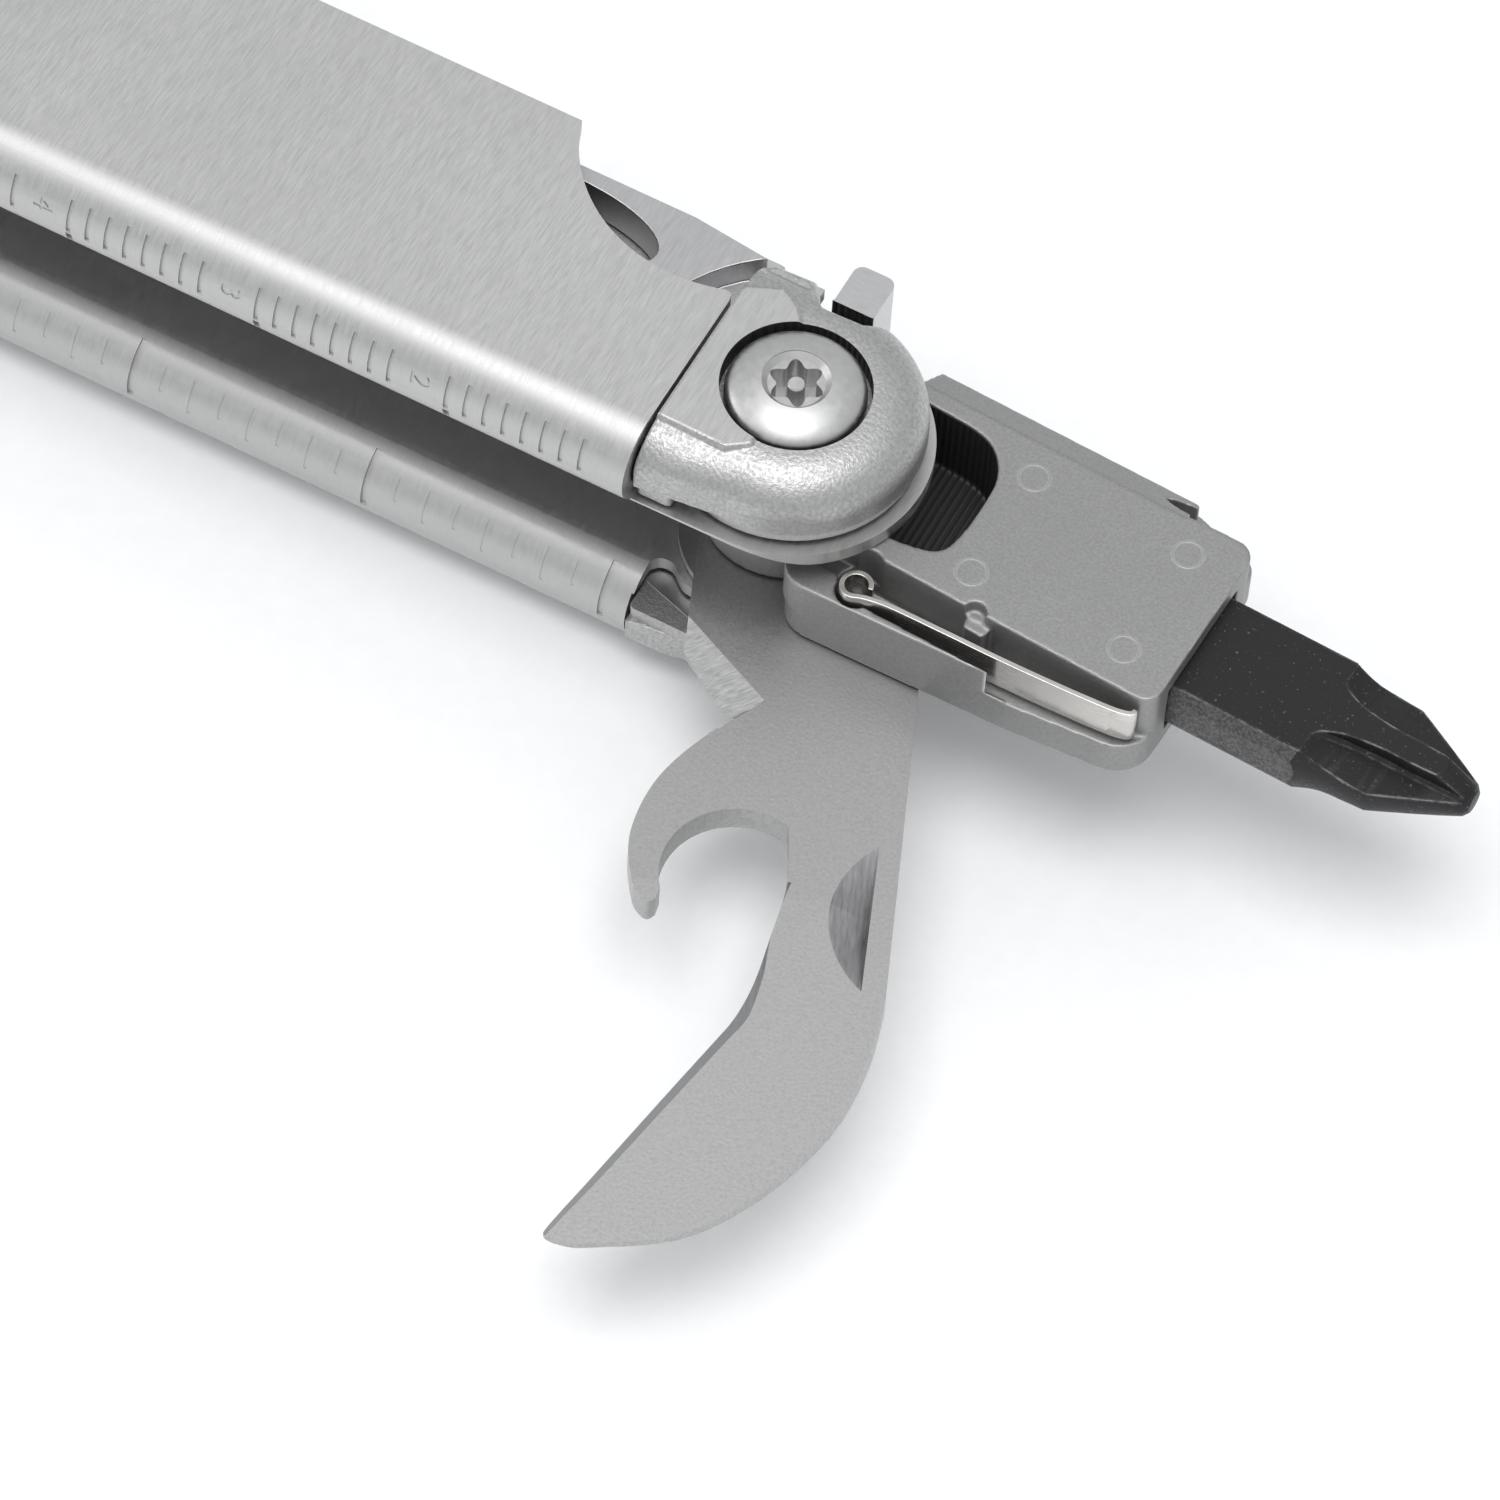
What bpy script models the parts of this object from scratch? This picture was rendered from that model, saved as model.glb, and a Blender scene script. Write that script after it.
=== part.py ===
"""Pocket multi tool: two folded-sheet handles that swing around a pair of needle-nose pliers.

Each handle carries inner tools in its channel and one blade in the slot of each cover.
Sizes are in millimetres and are turned into metres when a mesh is made. A handle is described
in its own frame: the tools turn about Z at the origin, +X runs out of the tool end, the channel
opens towards -Y and the blade slots open towards +Y. The whole tool lies on its lower covers,
with the part's origin on the first handle's lower cover.
"""

from collections import namedtuple
from math import cos, radians, sin

import bmesh
import bpy
from mathutils import Matrix, Vector

MM = 0.001
WELD = 1e-6
FLAT_ANGLE = 0.001

# Handle, one folded sheet
HALF_THICKNESS = 8.6
SHEET = 0.85
FOLD_RADIUS = 2.45
TOP_FOLD_EDGE = 7.5
BOTTOM_FOLD_EDGE = 6.5
CHANNEL_HALF = 3.7
FLOOR_BOTTOM = 7.45
BACK_EDGE = 8.3
SEAM_X = -4.9
END_RADIUS = 6.65
PIN_DISTANCE = 87.0
PIN_END_RADIUS = 6.0
LINER_TOP = CHANNEL_HALF + SHEET
REST_POINT = 45.0
FOLD_STEPS = 8

# Tool pivot
POST_RADIUS = 2.6
POST_HOLE = 2.8
POST_HALF = 7.1
SCREW_HEAD_RADIUS = 3.3
SCREW_RECESS_RADIUS = 3.55
SCREW_RECESS_FLOOR = 7.35
SCREW_TOP = 9.1
SCREW_SHANK_RADIUS = 1.4
BOLSTER_LOW = 5.5
BOLSTER_RADIUS = 6.25
LUG_TOP = 7.7

# Plier pins, with heads sunk in the covers
PIN_RADIUS = 2.3
PIN_HOLE = 2.5
PIN_HEAD_RADIUS = 3.0
PIN_HEAD_HOLE = 3.2
PIN_HEAD_TOP = 8.5
PIN_HEAD_SEAT = 7.7

# Pliers, in a frame with +X towards the nose
PIN_PITCH = 15.6
PIN_BACK = 10.5
JAW_HALF_THICKNESS = 3.4
LAP_RADIUS = 6.6
LAP_CLEARANCE = 0.3
LAP_GAP = 0.06
NOSE_LENGTH = 35.0
FOLD_TRAVEL = 174.0
HANDLE_B_SWING = 48.0

# Tools in the channels
HUB_RADIUS = 5.4
DRIVER_HUB_RADIUS = 4.6
DRIVER_LOW = -1.35
DRIVER_TOP = 3.6
DRIVER_SKEW = -2.85
BIT_LINE_Y = 1.5
BIT_MIDDLE = 0.98
BIT_TIP_REACH = 2.3
OPENER_LOW = -3.0
OPENER_TOP = -1.45
OPENER_REST = -68.0

# Blades in the slots
BLADE_LOW = 4.68
BLADE_TOP = 6.9
BLADE_HUB_TOP = 5.4
BLADE_STEP_RADIUS = 8.4

ROUND_STEPS = 24
IDENTITY = Matrix.Identity(4)
ALONG_X = Matrix(((0, 0, 1, 0), (1, 0, 0, 0), (0, 1, 0, 0), (0, 0, 0, 1)))

STEEL = ("brushed_steel", (0.62, 0.62, 0.61), 1.0, 0.32)
CAST = ("cast_steel", (0.55, 0.55, 0.54), 1.0, 0.5)
POLISHED = ("polished_steel", (0.7, 0.7, 0.7), 1.0, 0.2)
GREY = ("grey_casting", (0.42, 0.42, 0.42), 1.0, 0.55)
BLACK = ("black_oxide", (0.06, 0.06, 0.065), 1.0, 0.45)

Handle = namedtuple("Handle", "tag place side axle")


# Collections, materials and meshes

def clear_scene():
    for obj in list(bpy.data.objects):
        bpy.data.objects.remove(obj, do_unlink=True)


def new_collection(name):
    collection = bpy.data.collections.new(name)
    bpy.context.scene.collection.children.link(collection)
    return collection


def finish_material(obj, finish):
    kind, color, metallic, roughness = finish
    material = bpy.data.materials.new(f"{obj.name}_{kind}")
    material.use_nodes = True
    shader = material.node_tree.nodes["Principled BSDF"]
    shader.inputs["Base Color"].default_value = (*color, 1.0)
    shader.inputs["Metallic"].default_value = metallic
    shader.inputs["Roughness"].default_value = roughness
    obj.data.materials.append(material)


def arc(x, y, radius, start, end, steps=FOLD_STEPS):
    """Points along a circle from one angle to another, in degrees."""
    angles = [radians(start + (end - start) * i / steps) for i in range(steps + 1)]
    return [(x + radius * cos(a), y + radius * sin(a)) for a in angles]


def circle(radius, x=0.0, y=0.0, steps=ROUND_STEPS, stretch=1.0):
    points = arc(0, 0, radius, 0, 360, steps)[:-1]
    return [(x + px * stretch, y + py) for px, py in points]


def rectangle(low, high):
    return [low, (high[0], low[1]), high, (low[0], high[1])]


def smooth(points, steps=3):
    """A smooth run through a few points (Catmull-Rom), with both ends kept."""
    ends = [points[0]] + points + [points[-1]]
    run = []
    for a, b, c, d in zip(ends, ends[1:], ends[2:], ends[3:]):
        for i in range(steps):
            t = i / steps
            run.append(tuple(
                0.5 * (2 * q + (r - p) * t + (2 * p - 5 * q + 4 * r - s) * t ** 2
                       + (3 * q - p - 3 * r + s) * t ** 3)
                for p, q, r, s in zip(a, b, c, d)))
    return run + [points[-1]]


def strip(path, width):
    """Outline of a strip of even width along a path."""
    left, right = [], []
    for i, here in enumerate(path):
        before, after = path[max(i - 1, 0)], path[min(i + 1, len(path) - 1)]
        along = (Vector(after) - Vector(before)).normalized()
        across = Vector((-along.y, along.x)) * width / 2
        left.append(tuple(Vector(here) + across))
        right.append(tuple(Vector(here) - across))
    return left + right[::-1]


def add_spline(curve, outline):
    spline = curve.splines.new("POLY")
    spline.points.add(len(outline) - 1)
    for point, (x, y) in zip(spline.points, outline):
        point.co = (x * MM, y * MM, 0.0, 1.0)
    spline.use_cyclic_u = True


def plate(name, outline, low, high, place=IDENTITY, side=1, holes=(), turn=IDENTITY):
    """A flat outline with thickness from low to high, as a welded mesh object.

    It is turned, then mirrored in Y where side is -1.
    """
    curve = bpy.data.curves.new(name, "CURVE")
    curve.dimensions = "2D"
    curve.fill_mode = "BOTH"
    curve.extrude = (high - low) / 2 * MM
    for ring in (outline, *holes):
        add_spline(curve, ring)
    guide = bpy.data.objects.new(name + "_outline", curve)
    PARTS.objects.link(guide)
    graph = bpy.context.evaluated_depsgraph_get()
    mesh = bpy.data.meshes.new_from_object(guide.evaluated_get(graph))
    bpy.data.objects.remove(guide, do_unlink=True)
    mirror = Matrix.Diagonal((1, side, 1, 1))
    mesh.transform(mirror @ turn @ Matrix.Translation((0, 0, (low + high) / 2 * MM)))
    work = bmesh.new()
    work.from_mesh(mesh)
    bmesh.ops.remove_doubles(work, verts=work.verts, dist=WELD)
    bmesh.ops.dissolve_limit(work, angle_limit=FLAT_ANGLE, verts=[], edges=work.edges)
    bmesh.ops.recalc_face_normals(work, faces=work.faces)
    work.to_mesh(mesh)
    work.free()
    return link_mesh(name, mesh, place)


def link_mesh(name, mesh, place):
    obj = bpy.data.objects.new(name, mesh)
    obj.matrix_world = place
    PARTS.objects.link(obj)
    return obj


def box(name, low, high, place=IDENTITY, side=1, turn=IDENTITY):
    """A box between two corners."""
    size = Vector(high) - Vector(low)
    middle = (Vector(high) + Vector(low)) / 2
    middle.y *= side
    work = bmesh.new()
    scale = Matrix.Diagonal((*(size * MM), 1.0))
    bmesh.ops.create_cube(work, size=1.0, matrix=Matrix.Translation(middle * MM) @ turn @ scale)
    mesh = bpy.data.meshes.new(name)
    work.to_mesh(mesh)
    work.free()
    return link_mesh(name, mesh, place)


def turned(name, profile, place=IDENTITY, steps=ROUND_STEPS):
    """A solid of revolution about Z; the profile runs from the top of the axis to its bottom."""
    mesh = bpy.data.meshes.new(name)
    points = [(r * MM, 0.0, z * MM) for r, z in profile]
    mesh.from_pydata(points, [(i, i + 1) for i in range(len(points) - 1)], [])
    obj = link_mesh(name, mesh, place)
    screw = obj.modifiers.new("turn", "SCREW")
    screw.steps = screw.render_steps = steps
    screw.use_merge_vertices = True
    screw.merge_threshold = WELD
    screw.use_normal_calculate = True
    return obj


def combine(obj, others, operation):
    for other in others:
        PARTS.objects.unlink(other)
        CUTTERS.objects.link(other)
        other.hide_render = True
        other.display_type = "WIRE"
        step = obj.modifiers.new(other.name, "BOOLEAN")
        step.operation = operation
        step.solver = "EXACT"
        step.object = other


def cut(obj, *others):
    combine(obj, others, "DIFFERENCE")


def join(obj, *others):
    combine(obj, others, "UNION")


def turn_z(degrees):
    return Matrix.Rotation(radians(degrees), 4, "Z")


def shift(x, y, z=0.0):
    return Matrix.Translation(Vector((x, y, z)) * MM)


def axle(name, place, parent=None):
    """An empty on a joint's axis."""
    empty = bpy.data.objects.new(name, None)
    PARTS.objects.link(empty)
    empty.matrix_world = place
    hang(empty, parent)
    return empty


def hang(obj, parent):
    if parent is not None:
        obj.parent = parent
        obj.matrix_parent_inverse = parent.matrix_basis.inverted()
    return obj


def finished(obj, finish, parent):
    finish_material(obj, finish)
    return hang(obj, parent)


# Handle shell, bolsters and pivot hardware

def shell_profile():
    """Cross-section of the sheet in Y and Z: cover, roll, inner wall, floor and the same below."""
    roll_z = HALF_THICKNESS - FOLD_RADIUS
    inside = FOLD_RADIUS - SHEET
    top_y = FOLD_RADIUS - TOP_FOLD_EDGE
    low_y = FOLD_RADIUS - BOTTOM_FOLD_EDGE
    cover_inside = HALF_THICKNESS - SHEET
    return ([(BACK_EDGE, HALF_THICKNESS)] + arc(top_y, roll_z, FOLD_RADIUS, 90, 270)
            + [(FLOOR_BOTTOM, CHANNEL_HALF), (FLOOR_BOTTOM, -CHANNEL_HALF)]
            + arc(low_y, -roll_z, FOLD_RADIUS, 90, 270)
            + [(BACK_EDGE, -HALF_THICKNESS), (BACK_EDGE, -cover_inside)]
            + arc(low_y, -roll_z, inside, 270, 90)
            + [(BACK_EDGE, -LINER_TOP), (BACK_EDGE, LINER_TOP)]
            + arc(top_y, roll_z, inside, 270, 90) + [(BACK_EDGE, cover_inside)])


def tool_end_trim():
    """What is cut off round the liner's end, with a gap in the back edge for the lock lever."""
    start = SEAM_X + 0.1
    kept = [(start, -6.75), (0.0, -END_RADIUS)] + arc(0, 0, END_RADIUS, -85, 85, 20)
    kept += [(-2.6, END_RADIUS), (-2.6, 8.1), (start, 8.1)]
    return kept + [(start, 12.0), (12.0, 12.0), (12.0, -12.0), (start, -12.0)]


def plier_end_trim():
    """What is cut off round the plier end, tapered so the two backs clear each other."""
    x = -PIN_DISTANCE
    kept = [(x + 12.0, 8.6)] + arc(x, 0, PIN_END_RADIUS, 90, 270, 14) + [(x + 8.0, -7.8)]
    return kept + [(x + 8.0, -12.0), (x - 12.0, -12.0), (x - 12.0, 12.0), (x + 12.0, 12.0)]


def handle_shell(handle):
    name = f"handle_{handle.tag}_shell"
    where = dict(place=handle.place, side=handle.side)
    tall = HALF_THICKNESS + 1.0
    lever_gap = CHANNEL_HALF + 0.05
    profile = shell_profile()
    start, end = -PIN_DISTANCE - PIN_END_RADIUS, END_RADIUS
    shell = plate(name, profile, start, end, turn=ALONG_X, **where)
    for low, high in ((LINER_TOP - 0.05, tall), (-tall, 0.05 - LINER_TOP)):
        cut(shell, box(name + "_cover_end", (SEAM_X, -9, low), (END_RADIUS + 1, 9.5, high), **where))
    cut(shell,
        plate(name + "_tool_end", tool_end_trim(), -tall, tall, **where),
        plate(name + "_plier_end", plier_end_trim(), -tall, tall, **where),
        box(name + "_lever_gap", (-31, 6.9, -lever_gap), (END_RADIUS + 1, 9, lever_gap), **where),
        plate(name + "_post_hole", circle(POST_HOLE), -6, 6, **where),
        plate(name + "_pin_hole", circle(PIN_HOLE, -PIN_DISTANCE), -tall, tall, **where),
        plate(name + "_pin_head_top", circle(PIN_HEAD_HOLE, -PIN_DISTANCE), 6, tall, **where),
        plate(name + "_pin_head_bottom", circle(PIN_HEAD_HOLE, -PIN_DISTANCE), -tall, -6, **where),
        plate(name + "_lever_hole", circle(0.75, -16, 7.3, 12), -6, 6, **where))
    for low, high in ((LINER_TOP + 1, tall), (-tall, -LINER_TOP - 1)):
        cut(shell, plate(name + "_scallop", circle(8.1, -8.0, 10.76, 32), low, high, **where))
    return finished(shell, STEEL, handle.axle)


def bolster_outline():
    left = -4.75
    round_end = arc(0, 0, BOLSTER_RADIUS, -94, 70, 16)
    notch = [(1.5, 5.3), (0.9, 4.75), (-1.3, 4.7)]
    lug = [(-1.9, 6.3), (-2.4, 6.6), (-4.3, 6.5), (left, 6.1)]
    return [(left, -6.75)] + round_end + notch + lug


def bolster(handle, up):
    """The cast cap over the blade's hub, seen on both faces; up is 1 on top and -1 below."""
    name = f"handle_{handle.tag}_bolster_{'top' if up > 0 else 'bottom'}"
    where = dict(place=handle.place, side=handle.side)

    def span(low, high):
        return sorted((low * up, high * up))

    cap = plate(name, bolster_outline(), *span(BOLSTER_LOW, HALF_THICKNESS), **where)
    join(cap, plate(name + "_tab", rectangle((-4.75, -6.75), (-2.9, -5.7)),
                    *span(LINER_TOP + 0.15, BOLSTER_LOW + 0.5), **where))
    cut(cap,
        plate(name + "_recess", circle(SCREW_RECESS_RADIUS), *span(SCREW_RECESS_FLOOR, 10), **where),
        plate(name + "_bore", circle(POST_HOLE), *span(4, 8), **where),
        plate(name + "_lug_top", rectangle((-6, 4.65), (-1, 8)), *span(LUG_TOP, 10), **where))
    return finished(cap, CAST, handle.axle)


def tool_post(handle):
    post = plate(f"tool_post_{handle.tag}", circle(POST_RADIUS), -POST_HALF, POST_HALF,
                 place=handle.place, holes=[circle(SCREW_SHANK_RADIUS + 0.15)])
    return finished(post, POLISHED, handle.axle)


def tool_screw(handle, up):
    """A domed screw with a six-lobed socket, driven into the post from one face."""
    name = f"tool_screw_{handle.tag}_{'top' if up > 0 else 'bottom'}"
    place = handle.place if up > 0 else handle.place @ Matrix.Rotation(radians(180), 4, "X")
    seat = SCREW_RECESS_FLOOR + 0.1
    profile = [(0, SCREW_TOP), (1.4, 8.98), (2.4, 8.68), (3.0, 8.3), (SCREW_HEAD_RADIUS, 7.9),
               (SCREW_HEAD_RADIUS, seat), (SCREW_SHANK_RADIUS, seat), (SCREW_SHANK_RADIUS, 2.0),
               (0, 2.0)]
    screw = turned(name, profile, place)
    lobes = [(r * cos(radians(a)), r * sin(radians(a)))
             for a, r in ((30 * i, 1.5 if i % 2 else 1.05) for i in range(12))]
    cut(screw, plate(name + "_socket", lobes, 8.0, 10.0, place=place))
    return finished(screw, POLISHED, handle.axle)


def tool_washer(handle):
    washer = plate(f"tool_washer_{handle.tag}", circle(5.0), -3.6, -3.15, place=handle.place,
                   holes=[circle(POST_HOLE)])
    return finished(washer, POLISHED, handle.axle)


def plier_pin(handle):
    """The headed pin that joins the handle to its jaw."""
    top, seat = PIN_HEAD_TOP, PIN_HEAD_SEAT
    profile = [(0, top), (2.8, top), (PIN_HEAD_RADIUS, top - 0.2), (PIN_HEAD_RADIUS, seat),
               (PIN_RADIUS, seat)]
    profile += [(r, -z) for r, z in reversed(profile)]
    pin = turned(f"plier_pin_{handle.tag}", profile, handle.place @ shift(-PIN_DISTANCE, 0))
    return finished(pin, POLISHED, handle.axle)


def lock_lever(handle):
    """The rocker that holds the open tools, and the pin it rocks on."""
    end_block = [(-4.0, 6.9), (-2.5, 8.4), (-0.2, 8.4), (-0.2, 11.0), (-2.3, 11.0), (-3.7, 8.5)]
    boss = [(-14.3, 6.9), (-15.1, 6.35), (-16.9, 6.35), (-17.7, 6.9)]
    outline = end_block + [(-30.5, 8.2), (-30.5, 6.9)] + boss[::-1]
    lever = plate(f"lock_lever_{handle.tag}", outline, -3.3, 3.3, place=handle.place,
                  side=handle.side, holes=[circle(0.72, -16, 7.3, 12)])
    hub = axle(f"lock_axis_{handle.tag}", handle.place @ shift(-16, 7.3 * handle.side), handle.axle)
    finished(lever, POLISHED, hub)
    pin = plate(f"lock_pin_{handle.tag}", circle(0.6, -16, 7.3, 12), -4.5, 4.5,
                place=handle.place, side=handle.side)
    finished(pin, POLISHED, handle.axle)


# Blades in the cover slots

def blade_hub(radius=6.0):
    return arc(0, 0, radius, 70, 290, 14)


def grind(name, start, end, up, place, side):
    """A long wedge that thins a blade towards its edge, on the face that up names."""
    (x0, y0), (x1, y1) = start, end
    middle = BLADE_LOW / 2 + BLADE_TOP / 2
    profile = [(y0, middle + 1.4 * up), (y1, middle + 0.12 * up), (y1 + 1, middle + 3 * up),
               (y0, middle + 3 * up)]
    return plate(name, profile, x0, x1, turn=ALONG_X, place=place, side=side)


def outer_blade(name, outline, handle, up, finish, holes=(), edge=None):
    """A blade with a thin hub under the bolster, stowed along the handle."""
    place = handle.place @ turn_z(180)
    if up < 0:
        flip = Matrix.Rotation(radians(180), 4, "X")
        place, side = place @ flip, -handle.side
    else:
        side = handle.side
    hub = axle(name + "_axis", handle.place, handle.axle)
    blade = plate(name, outline, BLADE_LOW, BLADE_TOP, place=place, side=side,
                  holes=[circle(POST_HOLE)] + list(holes))
    cut(blade, plate(name + "_step", circle(BLADE_STEP_RADIUS, steps=32), BLADE_HUB_TOP,
                     BLADE_TOP + 1, place=place, side=side))
    if edge:
        for face in (1, -1):
            cut(blade, grind(f"{name}_grind_{face}", *edge, face, place, side))
    return finished(blade, finish, hub)


def knife_outline():
    spine = [(3.5, -6.6), (9.0, -7.2), (58.0, -7.2)] + smooth([(63, -6.4), (69, -3.6), (74, 0.6)])
    edge = smooth([(73.2, 1.4), (68, 2.9), (60, 3.7), (52, 3.8)])
    return blade_hub() + spine + edge + [(14.0, 3.8), (13.0, 3.0), (12.0, 3.8), (6.0, 4.4)]


def belly(i, last):
    """A slight outward bow along a toothed edge."""
    return 0.25 * sin(radians(180 * i / last))


def serrated_outline():
    outline = blade_hub() + [(3.5, -6.6), (9.0, -7.2), (60.0, -7.2), (70.0, -3.5), (72.0, 0.0)]
    outline += [(66.0, 3.2), (60.0, 3.8)]
    for i in range(11):
        outline += arc(57.6 - 4 * i, 4.0 + belly(i, 10), 1.9, 345, 195, 4)
    return outline + [(13.0, 3.8), (6.0, 4.4)]


def saw_outline():
    outline = blade_hub() + [(3.5, -6.6), (9.0, -7.2), (70.0, -5.6), (71.0, -4.8), (71.0, 3.4)]
    for i in range(22):
        rise = belly(i, 21)
        outline += [(70.0 - 2.5 * i, 3.6 + rise), (68.9 - 2.5 * i, 2.1 + rise)]
    return outline + [(13.0, 3.8), (6.0, 4.4)]


def file_outline():
    return blade_hub() + [(3.5, -6.6), (9.0, -7.2), (68.0, -7.2), (69.0, -6.2), (69.0, 2.8),
                          (68.0, 3.8), (13.0, 3.8), (6.0, 4.4)]


def thumb_hole():
    return circle(2.0, 14.9, -4.4, 20, stretch=2.65)


# Tools in the channels

def driver_blank(name, place):
    """Base, near wall and raised body of the bit holder, before its pockets are cut."""
    skewed = place @ turn_z(DRIVER_SKEW)
    base = [(1.6, -5.85), (20.2, -5.85), (21.2, -4.6), (21.1, 6.6), (19.8, 7.9), (3.0, 7.9), (1.3, 5.2)]
    holder = plate(name, base, DRIVER_LOW, 0.7, place=place)
    wall = [(1.3, -5.85), (14.1, -5.85), (14.1, -4.95), (1.3, -4.95)]
    body = [(2.0, -3.1), (6.0, -3.1), (11.6, -3.3), (20.6, -3.55), (21.1, -3.0), (20.6, 6.1),
            (20.0, 7.2), (10.4, 7.6), (3.4, 7.0)]
    join(holder,
         plate(name + "_wall", wall, 0.4, 2.4, place=place),
         plate(name + "_body", body, 0.4, DRIVER_TOP, place=skewed),
         plate(name + "_hub", circle(DRIVER_HUB_RADIUS), DRIVER_LOW + 0.02, DRIVER_TOP - 0.02,
               place=place))
    return holder


def bit_driver(handle):
    name = "bit_driver"
    hub = axle("bit_driver_axis", handle.place, handle.axle)
    skewed = handle.place @ turn_z(DRIVER_SKEW)
    holder = driver_blank(name, handle.place)
    window = [(0, 5.0), (4.3, 5.4), (8.2, 4.7), (9.0, 2.4), (9.0, -0.8), (5.9, -2.0), (0, -2.4)]
    tilt = Matrix.Rotation(radians(-42), 4, "X")
    cut(holder,
        plate(name + "_window", window, 1.2, 5.0, place=skewed),
        box(name + "_pocket", (9.2, BIT_LINE_Y - 3.4, -0.75), (23, BIT_LINE_Y + 3.4, 2.7), place=skewed),
        plate(name + "_coil", circle(1.1, 6.1, -4.45, 16), 0.75, 5.0, place=skewed),
        box(name + "_bevel", (-3, 6.2, 2.3), (23, 10.2, 5.3), place=skewed, turn=tilt),
        plate(name + "_bore", circle(POST_HOLE), -3, 5, place=handle.place))
    return finished(holder, GREY, hub), hub


def retention_spring(handle, hub):
    """The rolled flat spring that presses on the bit."""
    skewed = handle.place @ turn_z(DRIVER_SKEW)
    coil = arc(6.1, -4.45, 0.68, -40, -310, 14)
    path = coil + [(7.4, -4.1), (8.6, -3.75), (14.0, -3.78), (20.5, -3.95)]
    spring = plate("bit_retention_spring", strip(path, 0.32), 0.95, 3.1, place=skewed)
    return finished(spring, POLISHED, hub)


def phillips_bit(handle, hub):
    """A flattened hexagon bit with a cross tip, in the holder's pocket."""
    skewed = handle.place @ turn_z(DRIVER_SKEW)
    slide = axle("phillips_bit_axis", skewed @ shift(9.6, BIT_LINE_Y, BIT_MIDDLE), hub)
    section = [(y * s, BIT_MIDDLE + z * t) for s, t, corners in
               ((1, 1, ((3.17, 0.9), (2.83, 1.52))), (-1, 1, ((2.83, 1.52), (3.17, 0.9))),
                (-1, -1, ((3.17, 0.9), (2.83, 1.52))), (1, -1, ((2.83, 1.52), (3.17, 0.9))))
               for y, z in corners]
    section = [(BIT_LINE_Y + y, z) for y, z in section]
    bit = plate("phillips_bit", section, 9.6, 27.8, place=skewed, turn=ALONG_X)
    tip = turned("phillips_bit_tip", [(0, 35.3), (0.8, 35.2), (1.5, 32.8), (2.6, 28.2), (2.9, 26.5),
                                      (0, 26.5)],
                 place=skewed @ shift(0, BIT_LINE_Y, BIT_MIDDLE) @ Matrix.Rotation(radians(90), 4, "Y"),
                 steps=16)
    join(bit, tip)
    for face in (1, -1):
        near, far = BIT_MIDDLE + face * BIT_TIP_REACH, BIT_MIDDLE + face * 4
        cut(bit, box(f"phillips_bit_flat_{face}", (20, -5, min(near, far)), (40, 8, max(near, far)),
                     place=skewed))
    return finished(bit, BLACK, slide)


def opener_outline():
    """Can opener and cap lifter, pointing along +X with its back edge at +Y."""
    hub = arc(0, 0, HUB_RADIUS, 110, 228, 10)
    lifter = [(6.5, -3.85), (7.8, -3.87), (10.7, -1.7), (10.8, 0.1)]
    hook = smooth([(12.1, -1.45), (14.4, -3.5), (16.5, -4.65), (19.0, -5.17), (21.4, -4.75)])
    hook_inside = [(22.2, -3.9), (21.6, -3.6)] + arc(20.3, -0.1, 3.55, -80, -215, 8)
    edge = smooth([(18.3, 2.1), (21.0, 2.2), (24.0, 1.7), (27.4, 0.7), (31.0, -1.2), (35.0, -3.6),
                   (39.5, -6.2)])
    back = smooth([(40.1, -5.9), (40.1, -4.4), (39.1, -0.5), (36.6, 2.7), (32.9, 5.4), (29.2, 6.8),
                   (26.5, 7.26)])
    return hub + lifter + hook + hook_inside + edge + back + [(9.0, 7.1)]


def can_opener(handle):
    place = handle.place @ turn_z(OPENER_REST)
    hub = axle("can_opener_axis", handle.place, handle.axle)
    opener = plate("can_opener", opener_outline(), OPENER_LOW, OPENER_TOP, place=place,
                   holes=[circle(POST_HOLE)])
    return finished(opener, STEEL, hub)


def stowed_tool(name, outline, low, high, handle, finish):
    """A tool of the second handle, lying in its channel."""
    hub = axle(name + "_axis", handle.place, handle.axle)
    tool = plate(name, outline, low, high, place=handle.place @ turn_z(180), side=handle.side,
                 holes=[circle(POST_HOLE)])
    return finished(tool, finish, hub), hub


def screwdriver_outline(length, width):
    hub = arc(0, 0, HUB_RADIUS, 90, 290, 12)
    middle = 3.6
    blade = [(20.0, -1.2), (24.0, middle - width / 2), (length, middle - width / 2),
             (length, middle + width / 2), (24.0, middle + width / 2), (20.0, 6.9)]
    return hub + [(6.0, -3.6)] + blade + [(5.0, 6.9)]


def small_bit_driver(handle):
    name = "small_bit_driver"
    outline = arc(0, 0, HUB_RADIUS, 100, 270, 10) + [(4.0, -3.4), (21.0, -1.5), (21.6, -0.8),
                                                     (21.6, 6.2), (20.8, 6.9), (4.0, 6.9)]
    holder, hub = stowed_tool(name, outline, -1.6, 1.75, handle, GREY)
    stowed = handle.place @ turn_z(180)
    cut(holder, box(name + "_pocket", (9.0, 0.6, -1.0), (23, 4.6, 1.15), place=stowed, side=handle.side))
    slide = axle("small_bit_axis", stowed @ shift(9.3, 2.6 * handle.side), hub)
    outline = [(9.3, 0.8), (30.0, 0.8), (31.5, 1.5), (36.5, 2.0), (36.5, 3.2), (31.5, 3.7),
               (30.0, 4.4), (9.3, 4.4)]
    bit = plate("small_bit", outline, -0.85, 1.0, place=stowed, side=handle.side)
    finished(bit, BLACK, slide)


# Pliers

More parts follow.
